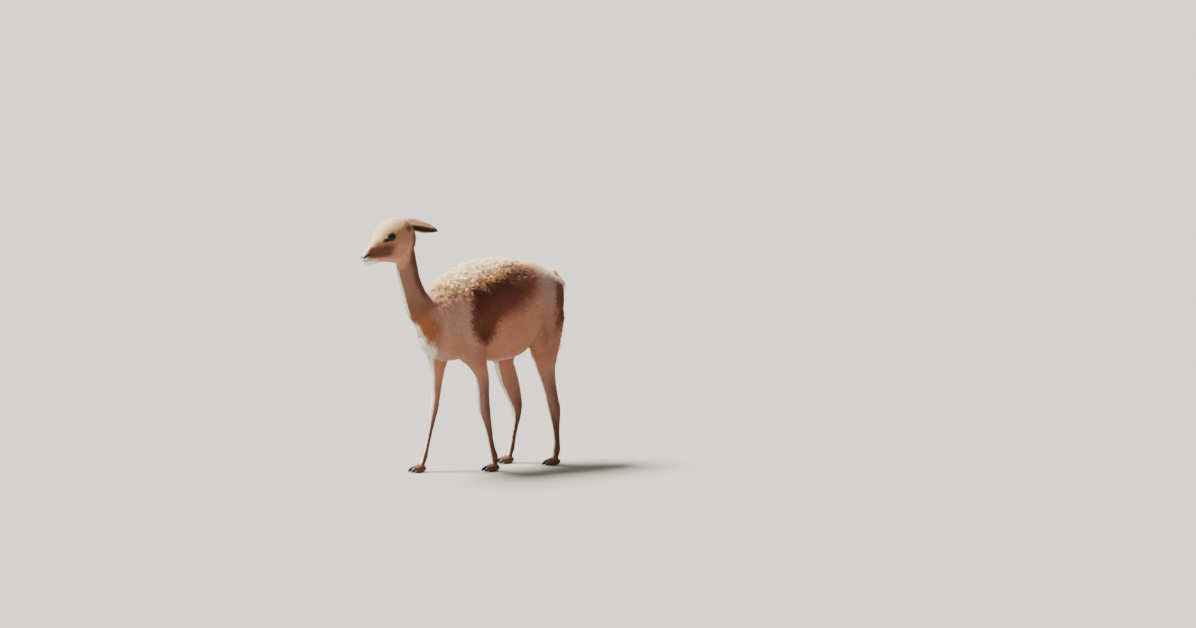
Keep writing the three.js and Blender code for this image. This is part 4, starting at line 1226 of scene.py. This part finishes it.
def scaled(tree, colour, factor):
    """A colour made brighter or darker by a factor."""
    node = tree.nodes.new("ShaderNodeVectorMath")
    node.operation = "SCALE"
    tree.links.new(colour, node.inputs[0])
    tree.links.new(factor, node.inputs["Scale"])
    return node.outputs["Vector"]


def new_group(name, amounts):
    """A node group that takes a colour and some amounts, and gives a colour and a height."""
    group = bpy.data.node_groups.new(name, "ShaderNodeTree")
    taken = group.interface.new_socket(name="Colour", in_out="INPUT", socket_type="NodeSocketColor")
    taken.default_value = (0.5, 0.4, 0.3, 1)
    for amount, value in amounts.items():
        taken = group.interface.new_socket(name=amount, in_out="INPUT", socket_type="NodeSocketFloat")
        taken.default_value = value
    group.interface.new_socket(name="Colour", in_out="OUTPUT", socket_type="NodeSocketColor")
    group.interface.new_socket(name="Height", in_out="OUTPUT", socket_type="NodeSocketFloat")
    return group, group.nodes.new("NodeGroupInput").outputs, group.nodes.new("NodeGroupOutput").inputs


def strand_group():
    """Streaks along each tuft and painted shade towards its root, from the strand map and the coat attribute.
    """
    group, enter, leave = new_group("wool_strands", {"Along": 0.5, "Streak": 0.3, "Root Shade": 0.5})
    strand = group.nodes.new("ShaderNodeUVMap")
    strand.uv_map = "strand"
    streak = noise(group, mapped(group, strand.outputs["UV"], (5.0, 1.3, 1.0)), 1.0, 4.0, 0.7)
    amount = arithmetic(group, "MULTIPLY", ranged(group, streak, (0.3, 0.7), (-0.5, 0.5)), enter["Streak"])
    lit = ranged(group, enter["Along"], (0.0, 0.55), (enter["Root Shade"], 1.0), "SMOOTHSTEP")
    tone = arithmetic(group, "ADD", lit, amount)
    group.links.new(scaled(group, enter["Colour"], tone), leave["Colour"])
    group.links.new(streak, leave["Height"])
    return group


def down_group():
    """Short flat hair as fine streaks in the skin: noise on object coordinates drawn out along the lie."""
    group, enter, leave = new_group("short_hair", {"Amount": 0.3})
    place = object_place(group)
    streak = noise(group, mapped(group, place, (1.0, 1.0, 0.22), (0, 0.5, 0)), 620.0, 3.0, 0.6)
    cloud = noise(group, place, 38.0, 3.0, 0.5)
    both = arithmetic(group, "MULTIPLY_ADD", cloud, 0.35, streak)
    low = arithmetic(group, "SUBTRACT", 1.0, enter["Amount"])
    tone = ranged(group, both, (0.42, 0.95), (low, 1.12))
    group.links.new(scaled(group, enter["Colour"], tone), leave["Colour"])
    group.links.new(streak, leave["Height"])
    return group


WOOL_STRANDS = strand_group()
SHORT_HAIR = down_group()


def new_material(name, roughness, specular, sheen=0.0):
    """A material with a Principled shader and its constants set on its own sockets."""
    material = bpy.data.materials.new(name)
    material.use_nodes = True
    shader = material.node_tree.nodes["Principled BSDF"]
    shader.inputs["Roughness"].default_value = roughness
    shader.inputs["Specular IOR Level"].default_value = specular
    shader.inputs["Sheen Weight"].default_value = sheen
    shader.inputs["Sheen Roughness"].default_value = 0.5
    return material, material.node_tree, shader


def marked(tree, name):
    """The outputs of an attribute of the piece's points: a colour, and a mask as its alpha."""
    node = tree.nodes.new("ShaderNodeAttribute")
    node.attribute_name = name
    return node.outputs


def use_group(tree, group, amounts):
    """A group placed in a material with its own amounts."""
    node = tree.nodes.new("ShaderNodeGroup")
    node.node_tree = group
    for amount, value in amounts.items():
        node.inputs[amount].default_value = value
    return node


def bumped(tree, shader, height, strength, distance):
    """Small relief on a shader's surface from a height."""
    bump = tree.nodes.new("ShaderNodeBump")
    bump.inputs["Strength"].default_value = strength
    bump.inputs["Distance"].default_value = distance
    tree.links.new(height, bump.inputs["Height"])
    tree.links.new(bump.outputs["Normal"], shader.inputs["Normal"])


def coat_material(name, streak, root_shade, sheen):
    """Wool or hair: the markings, streaks along each tuft and painted shade at the roots."""
    material, tree, shader = new_material(name, 0.88, 0.12, sheen)
    marks = marked(tree, "coat")
    hair = use_group(tree, WOOL_STRANDS, {"Streak": streak, "Root Shade": root_shade})
    tree.links.new(marks["Color"], hair.inputs["Colour"])
    tree.links.new(marks["Alpha"], hair.inputs["Along"])
    tree.links.new(hair.outputs["Colour"], shader.inputs["Base Color"])
    bumped(tree, shader, hair.outputs["Height"], 0.3, 0.0006)
    return material


def skin_material():
    """Short hair and bare skin over the body, with the same markings as the coat."""
    material, tree, shader = new_material("skin_and_down", 0.8, 0.2, 0.1)
    marks = marked(tree, "coat")
    down = use_group(tree, SHORT_HAIR, {"Amount": 0.4})
    tree.links.new(marks["Color"], down.inputs["Colour"])
    tree.links.new(down.outputs["Colour"], shader.inputs["Base Color"])
    gloss = ranged(tree, marks["Alpha"], (0.0, 1.0), (0.38, 0.85))
    tree.links.new(gloss, shader.inputs["Roughness"])
    bumped(tree, shader, down.outputs["Height"], 0.35, 0.0012)
    return material


WOOL = coat_material("wool", 0.34, 0.68, 0.25)
HAIR = coat_material("short_coat", 0.26, 0.78, 0.15)
SKIN = skin_material()

# The skin.
bare = np.clip(0.6 * ease(8, 5, nose_near) + ease(1.2, 1.1, eye_edge), 0, 1)
# Painted shade: the skin under the wool of trunk and neck is a tenth darker, as deep in the coat.
shaded_under_coat = colour * (1 - 0.1 * np.clip(trunk + neck, 0, 1))[:, None]
paint_points(skin_mesh, "coat", shaded_under_coat, 1 - bare)
skin = add_object("skin", skin_mesh, SKIN)
flesh = ["torso", "neck", "head", "lower_jaw", "tail"]
flesh += [f"{name}_{length_of}" for name in LEGS for length_of in ("upper_leg", "lower_leg", "foot")]
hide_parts(*flesh)

# The coat.
rng = np.random.default_rng(SEED)
which, share = sampled(points, faces, close, rng)
tufts = {
    "root": carried(points, faces, which, share),
    "up": unit(carried(normals, faces, which, share)),
    "way": carried(lie, faces, which, share),
    "colour": carried(colour, faces, which, share),
}
count = len(which)
tables = {
    "trunk": trunk, "curly": curly, "neck": neck, "head": head, "leg": leg, "tail": tail,
    "length": length, "rise": rise, "broad": broad,
}
area = {key: carried(value, faces, which, share) for key, value in tables.items()}
spin = rng.normal(0, 1, count) * (0.13 + 0.35 * area["curly"])
way = unit(square_to(tufts["way"], tufts["up"]))
across = np.cross(tufts["up"], way)
tufts["way"] = way * np.cos(spin)[:, None] + across * np.sin(spin)[:, None]
tufts["size"] = area["length"] * rng.uniform(0.78, 1.16, count)
tufts["width"] = area["broad"] * rng.uniform(0.8, 1.25, count)
tufts["height"] = area["rise"] * rng.uniform(0.72, 1.12, count)
tufts["sway"] = rng.normal(0, 0.1, count) * tufts["size"]
tufts["curl"] = area["curly"] * rng.uniform(3.0, 5.5, count)
tufts["wave"] = rng.uniform(3.6, 6.2, count)
tufts["number"] = rng.uniform(0, 1, count)
root = tufts["root"]
middle, near, beyond, number = clumps_near(root, CLUMP, CAPE_SEED)
tufts["lean"] = square_to(middle - root, tufts["up"]) * (0.75 * area["curly"])[:, None]
middle, _, _, lock_number = clumps_near(combed(root), LOCK, FLANK_SEED)
plain = np.clip(area["trunk"] - area["curly"], 0, 1)
tufts["lean"] += square_to(uncombed(middle) - root, tufts["up"]) * (0.22 * plain)[:, None]
tone = 1 + 0.1 * (number - 0.5) * area["curly"] + 0.07 * (lock_number - 0.5) * plain
tone = tone * (1 + rng.normal(0, 0.05, count))
# Painted shade: tufts in the gaps between the cape's clumps are darker.
clump_gap_shade = 1 - 0.3 * ease(0.16, 0.0, beyond - near) * area["curly"]
stray = rng.normal(0, 1, (count, 3)) * (7 * area["trunk"] + 4 * area["neck"] + 1.5 * area["leg"])[:, None]
tufts["colour"] = coat_colour(root + stray, tufts["up"])
tufts["colour"] = np.clip(tufts["colour"] * (tone * clump_gap_shade)[:, None], 0, 1)

left = root[:, 1] < 0
top_part = area["curly"] > 0.5
on_head = area["head"] > 0.5
on_neck = (area["neck"] > 0.5) & ~on_head
on_tail = area["tail"] > 0.5
on_leg = (area["leg"] > 0.5) & ~on_tail
on_trunk = ~(on_head | on_neck | on_tail | on_leg)
below_cape = on_trunk & ~top_part
front = root[:, 0] < -60
hind = root[:, 0] > 60
fore_leg = on_leg & (root[:, 0] < np.where(left, 0, -30))



def two_sides(name, slot, chosen, rings, material, tables=(None, None)):
    """A left and a right piece: name, slot, its tufts, rings in each blade, table of its flat map, finish."""
    sides = zip(("left", "right"), (left, ~left), tables)
    return [(f"{name}_{side}", slot, chosen & there, rings, rows, material) for side, there, rows in sides]


pieces = [
    *two_sides("wool_cape", "coat_saddle", on_trunk & top_part, 4, WOOL),
    *two_sides("wool_shoulder", "coat_saddle", below_cape & front, 2, WOOL),
    *two_sides("wool_flank", "coat_saddle", below_cape & ~front & ~hind, 2, WOOL),
    *two_sides("wool_croup", "coat_saddle", below_cape & hind, 2, WOOL),
    ("hair_neck", "coat_neck", on_neck, 2, NECK, HAIR),
    *two_sides("hair_head", "coat_head", on_head, 2, HAIR),
    ("hair_tail", "coat_tail", on_tail, 4, TAIL, WOOL),
    *two_sides("hair_fore", "coat_legs", fore_leg, 2, HAIR, (LEFT_FORE, RIGHT_FORE)),
    *two_sides("hair_hind", "coat_legs", on_leg & ~fore_leg, 2, HAIR, (LEFT_HIND, RIGHT_HIND)),
]
for name, slot, chosen, rings, rows, material in pieces:
    print(name, int(chosen.sum()), "tufts")
    coat_piece(name, chosen, tufts, rings, rows, material)


# Ears: leaves folded to a cup that is open outwards.
def ear_stations(sign):
    """The ear's stations, where the left ear hangs a little lower and further out along its length."""
    rows = EAR * (1, sign, 1, 1, 1, 1)
    if sign > 0:
        rows = rows + EAR_SAG * np.arange(len(EAR))[:, None] * (-1.3, -0.5, -1, 0, 0, 0)
        rows[:, 3:5] *= 1.1
    return rows


def ear_rings(sign, thick=2.6, around=26, steps=8):
    """Rings along the ear's middle line, each the outline of a bent leaf.

    Across the leaf, u runs from -1 to 1: it lies width * u ahead, and its back bulges inwards by
    depth * (1 - u^2). The thickness falls from the middle to the two rims.
    """
    path = spline(ear_stations(sign), steps)
    _, side, ahead = path_frame(path)
    side = side * sign
    half = around // 2
    u = np.cos(np.linspace(0, np.pi, half, endpoint=False))
    u = np.concatenate([u, -u])
    bow = np.sqrt(np.clip(1 - u**2, 0, 1))
    face = np.concatenate([np.ones(half), -np.ones(half)])
    t = np.linspace(0, 1, len(path))[:, None]
    wide = (path[:, 3:4] - 1.2) * u
    cup = path[:, 5:6] * 1.15 * (1 - u**2) * ease(0.0, 0.2, t)
    wall = thick * (0.35 + 0.65 * bow) * face * 0.5
    wall = wall * (1 - 0.4 * t)
    root_fill = ease(0.16, 0.0, t) * 7 * face * bow
    offset = cup * 0.9 + wall + root_fill - path[:, 5:6] * 0.35
    return path[:, None, :3] + ahead[:, None] * wide[..., None] + side[:, None] * offset[..., None]


for name, sign in SIDES.items():
    rows = ear_stations(sign)
    ear_points, quads, caps = closed_grid(ear_rings(sign))
    mesh = mesh_from(f"{name}_ear_leaf", metres(ear_points), quads, caps)
    ear_faces = triangles_of(mesh)
    ear_normals = point_normals(ear_points, ear_faces)
    inner = ease(-0.1, 0.4, -ear_normals[:, 1] * sign)
    along_ear = (ear_points[:, 0] - rows[0, 0]) / (rows[-1, 0] - rows[0, 0])
    rise_of = ear_points[:, 2] - np.interp(ear_points[:, 0], rows[:, 0], rows[:, 2])
    rim = np.abs(rise_of) / np.interp(ear_points[:, 0], rows[:, 0], rows[:, 3])
    # The inner face of each ear is painted dark brown as shade in its hollow.
    tint = over(np.tile(EAR_BACK, (len(ear_points), 1)), EAR_HOLLOW_SHADE, inner)
    tint = over(tint, EAR_RIM, ease(0.7, 0.92, rim) * inner)
    tint = over(tint, EAR_FRINGE, ease(2, 8, rise_of) * inner)
    tint = over(tint, EAR_TIP, 0.85 * ease(0.7, 0.97, along_ear))
    paint_points(mesh, "coat", tint, 1.0)
    leaf = add_object(f"{name}_ear_leaf", mesh, SKIN)
    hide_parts(f"{name}_ear")
    which, share = sampled(ear_points, ear_faces, 130000 - 60000 * inner, rng)
    count = len(which)
    up = unit(carried(ear_normals, ear_faces, which, share))
    course = np.gradient(spline(rows, 6)[:, :3], axis=0)
    ear_root = carried(ear_points, ear_faces, which, share)
    stretch_of = np.linspace(rows[0, 0], rows[-1, 0], len(course))
    way = unit(np.column_stack([np.interp(ear_root[:, 0], stretch_of, course[:, k]) for k in range(3)]))
    way = unit(way + rng.normal(0, 0.14, (count, 3)))
    way = unit(square_to(way, up))
    inside = carried(inner, ear_faces, which, share)
    size = (9 + 5 * inside) * rng.uniform(0.7, 1.2, count)
    size = size * ease(1.12, 0.6, (ear_root[:, 0] - rows[0, 0]) / (rows[-1, 0] - rows[0, 0]))
    coat_piece(f"hair_ear_{name}", np.ones(count, bool), {
        "root": ear_root,
        "up": up,
        "way": way,
        "colour": np.clip(carried(tint, ear_faces, which, share) * rng.normal(1, 0.07, (count, 1)), 0, 1),
        "size": size,
        "width": rng.uniform(1.2, 1.9, count),
        "height": rng.uniform(1.0, 2.0, count) + 1.5 * inside,
        "sway": rng.normal(0, 0.8, count),
        "curl": np.zeros(count),
        "wave": np.zeros(count),
        "lean": np.zeros((count, 3)),
        "number": rng.uniform(0, 1, count),
    }, 2, None, HAIR)


# Eyes.
def eye_material():
    """A dark brown iris with a level pupil, under a clear coat."""
    material, tree, shader = new_material("eye", 0.16, 0.1)
    shader.inputs["Coat Weight"].default_value = 0.22
    shader.inputs["Coat Roughness"].default_value = 0.03
    fleck = ranged(tree, noise(tree, object_place(tree), 420.0, 4.0, 0.6), (0.0, 1.0), (0.55, 1.4))
    tree.links.new(scaled(tree, marked(tree, "iris")["Color"], fleck), shader.inputs["Base Color"])
    return material


EYE_FINISH = eye_material()


def eyeball(name, sign):
    """Rings round the eye's outward axis, with a clear bulge of 1.1 in front of the iris."""
    _, _, out = eye_frame(sign)
    polar = np.linspace(0, np.pi, 40)[1:-1, None]
    turn = np.linspace(0, 2 * np.pi, 64, endpoint=False)[None]
    radius = EYE_RADIUS - 0.2 + 1.1 * np.exp(-((polar / 0.6) ** 4))
    level = unit(np.cross(np.array([0, 0, 1.0]), out))
    above = np.cross(out, level)
    round_it = np.cos(turn)[..., None] * level + np.sin(turn)[..., None] * above
    spot = np.cos(polar)[..., None] * out + np.sin(polar)[..., None] * round_it
    rings = EYE * (1, sign, 1) + radius[..., None] * spot
    eye_points, quads, caps = closed_grid(rings)
    mesh = mesh_from(name, metres(eye_points), quads, caps)
    away = unit(eye_points - EYE * (1, sign, 1))
    tilt = np.arccos(np.clip(away @ out, -1, 1))
    tint = over(np.tile(EYEBALL, (len(eye_points), 1)), IRIS_RIM, ease(0.98, 0.9, tilt))
    tint = over(tint, IRIS, ease(0.9, 0.78, tilt))
    pupil = np.maximum(np.abs(away @ level) / 0.46, np.abs(away @ above) / 0.24)
    tint = over(tint, PUPIL, ease(1.15, 0.9, pupil) * (away @ out > 0))
    paint_points(mesh, "iris", tint, 1.0)
    ball = add_object(f"{name}ball", mesh, EYE_FINISH)
    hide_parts(name)


for name, sign in SIDES.items():
    eyeball(f"{name}_eye", sign)


def lid_line(sign, share):
    """Points on the edge of an eye's opening: along its slit by cos a, over it by the lid's own curve."""
    long, across, out = eye_frame(sign)
    along = 17.7 * np.cos(share)
    half = np.where(np.sin(share) > 0, UPPER_LID, LOWER_LID)
    beyond = np.sign(np.sin(share)) * half * lid_bend(along) * np.abs(np.sin(share)) ** 0.3
    deep = np.sqrt(np.maximum(EYE_RADIUS**2 - along**2 - beyond**2, 9))
    away = unit(along[:, None] * long + beyond[:, None] * across + deep[:, None] * out)
    return EYE * (1, sign, 1) + away * (EYE_RADIUS + 1.3), away


def lid_rim(sign, radius=1.5, around=10, steps=96):
    """A closed tube round the edge of an eye's opening."""
    line, away = lid_line(sign, np.linspace(0, 2 * np.pi, steps, endpoint=False))
    along = unit(np.roll(line, -1, axis=0) - np.roll(line, 1, axis=0))
    beside = np.cross(along, away)
    turn = np.linspace(0, 2 * np.pi, around, endpoint=False)[None, :, None]
    rings = line[:, None] + radius * (np.cos(turn) * away[:, None] + np.sin(turn) * beside[:, None])
    index = np.arange(steps * around).reshape(steps, around)
    after = np.roll(index, -1, axis=1)
    quads = np.stack([index, after, np.roll(after, -1, axis=0), np.roll(index, -1, axis=0)], -1)
    quads = quads.reshape(-1, 4)
    middle = rings.mean((0, 1))
    rim_points = rings.reshape(-1, 3)
    a, b, c, d = (rim_points[quads[:, k]] - middle for k in range(4))
    if dot(a, np.cross(b, c)).sum() + dot(a, np.cross(c, d)).sum() < 0:
        quads = quads[:, ::-1]
    return rim_points, quads


def bare_skin_material():
    """Dark bare skin with fine pores and a slight shine."""
    material, tree, shader = new_material("bare_skin", 0.45, 0.35)
    pores = noise(tree, object_place(tree), 900.0, 3.0, 0.6)
    tint = ramped(tree, pores, 0.35, 0.7, (0.010, 0.006, 0.005), (0.035, 0.022, 0.017))
    tree.links.new(tint, shader.inputs["Base Color"])
    bumped(tree, shader, pores, 0.3, 0.0004)
    return material


BARE = bare_skin_material()
for name, sign in SIDES.items():
    rim_points, quads = lid_rim(sign)
    mesh = mesh_from(f"{name}_lid_rim", metres(rim_points), quads, NO_TRIANGLES)
    rim_piece = add_object(f"{name}_lid_rim", mesh, BARE)
    share = np.concatenate([np.linspace(0.25, 2.75, 60), np.linspace(3.6, 5.8, 18)])
    line, away = lid_line(sign, share)
    long, across, out = eye_frame(sign)
    upper = np.where(share < np.pi, 1.0, -0.55)[:, None]
    count = len(share)
    fan = 0.5 * out + 0.75 * across * upper + 0.42 * long * np.cos(share)[:, None]
    fan = unit(fan + rng.normal(0, 0.07, (count, 3)))
    coat_piece(f"lashes_{name}", np.ones(count, bool), {
        "root": line,
        "up": unit(np.cross(np.cross(fan, across * upper), fan)),
        "way": fan,
        "colour": np.tile(LASH, (count, 1)),
        "size": np.where(share < np.pi, 9.5, 5.0) * rng.uniform(0.8, 1.15, count),
        "width": rng.uniform(0.45, 0.7, count),
        "height": np.full(count, 2.5),
        "sway": rng.normal(0, 0.5, count),
        "curl": np.zeros(count),
        "wave": np.zeros(count),
        "lean": across * upper * 3.0,
        "number": rng.uniform(0, 1, count),
    }, 4, None, HAIR)


# Nails.
def nail_material():
    """Dark horn with growth lines across it."""
    material, tree, shader = new_material("nail", 0.42, 0.4)
    growth = noise(tree, mapped(tree, object_place(tree), (1.0, 0.2, 0.3)), 900.0, 3.0, 0.6)
    tint = ramped(tree, growth, 0.3, 0.75, (0.012, 0.009, 0.008), (0.085, 0.06, 0.045))
    tree.links.new(tint, shader.inputs["Base Color"])
    bumped(tree, shader, growth, 0.3, 0.0005)
    return material


NAIL = nail_material()
for foot_name, (fx, fy) in FEET.items():
    for place, sign in (("inner", -np.sign(fy)), ("outer", np.sign(fy))):
        rings = tube(spline(nail_rows(fx, fy, sign), 5), 20, 2.3)
        rings[..., 2] = np.maximum(rings[..., 2], 0.7)
        nail_points, quads, caps = closed_grid(rings)
        nail_name = f"{foot_name}_{place}_nail"
        nail = add_object(f"{nail_name}_horn", mesh_from(nail_name, metres(nail_points), quads, caps), NAIL)
        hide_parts(nail_name)


# Floor, light and camera.
def floor_material():
    """Matt, with faint clouds a little darker than the rest."""
    material, tree, shader = new_material("pale_floor", 0.9, 0.2)
    grain = noise(tree, object_place(tree), 6.0, 2.0, 0.5)
    tint = ramped(tree, grain, 0.0, 1.0, [c * 0.97 for c in FLOOR_COLOUR], FLOOR_COLOUR)
    tree.links.new(tint, shader.inputs["Base Color"])
    return material


floor_points = np.array([(-30, -30, 0), (30, -30, 0), (30, 30, 0), (-30, 30, 0)], float)
floor = bpy.data.objects.new("floor", mesh_from("floor", floor_points, [(0, 1, 2, 3)], NO_TRIANGLES))
bpy.context.scene.collection.objects.link(floor)
floor.data.materials.append(floor_material())

right = np.array([math.cos(VIEW_TURN), math.sin(VIEW_TURN), 0])
toward = np.array([math.sin(VIEW_TURN) * math.cos(VIEW_RISE), -math.cos(VIEW_TURN) * math.cos(VIEW_RISE),
                   math.sin(VIEW_RISE)])
upward = np.cross(toward, right)
target = np.array([SHIFT_X * 0.001, 0, 0]) + right * VIEW_RIGHT + upward * VIEW_UP
camera_data = bpy.data.cameras.new("camera")
camera_data.sensor_width = SENSOR
camera_data.lens = SENSOR * VIEW_DISTANCE / VIEW_WIDTH
camera_data.clip_start = 1.0
camera_data.clip_end = 400.0
camera = bpy.data.objects.new("camera", camera_data)
camera.location = target + toward * VIEW_DISTANCE
camera.rotation_euler = Vector(-toward).to_track_quat("-Z", "Y").to_euler()
bpy.context.scene.collection.objects.link(camera)
bpy.context.scene.camera = camera


def add_light(name, kind, strength, colour, turn):
    """Links a light into the scene, turned towards what it lights."""
    data = bpy.data.lights.new(name, kind)
    data.energy = strength
    data.color = colour
    light = bpy.data.objects.new(name, data)
    light.rotation_euler = turn.to_euler()
    bpy.context.scene.collection.objects.link(light)
    return light


sun = add_light("sun_side", "SUN", SUN_STRENGTH, SUN_COLOUR, Vector(SUN_FROM).to_track_quat("Z", "Y"))
sun.data.angle = SUN_SPREAD
fill_turn = (Vector(FILL_TARGET) - Vector(FILL_PLACE)).to_track_quat("-Z", "Y")
fill = add_light("front_fill", "AREA", FILL_WATTS, FILL_COLOUR, fill_turn)
fill.location = FILL_PLACE
fill.data.shape = "SQUARE"
fill.data.size = FILL_SIZE
world = bpy.data.worlds.new("studio")
world.use_nodes = True
sky = world.node_tree
direction = sky.nodes.new("ShaderNodeTexCoord")
height = sky.nodes.new("ShaderNodeSeparateXYZ")
sky.links.new(direction.outputs["Generated"], height.inputs["Vector"])
fade = ranged(sky, height.outputs["Z"], (0.02, 0.3), (HORIZON_STRENGTH, ZENITH_STRENGTH), "SMOOTHSTEP")
sky.links.new(fade, sky.nodes["Background"].inputs["Strength"])
sky.nodes["Background"].inputs["Color"].default_value = SKY_COLOUR
bpy.context.scene.world = world
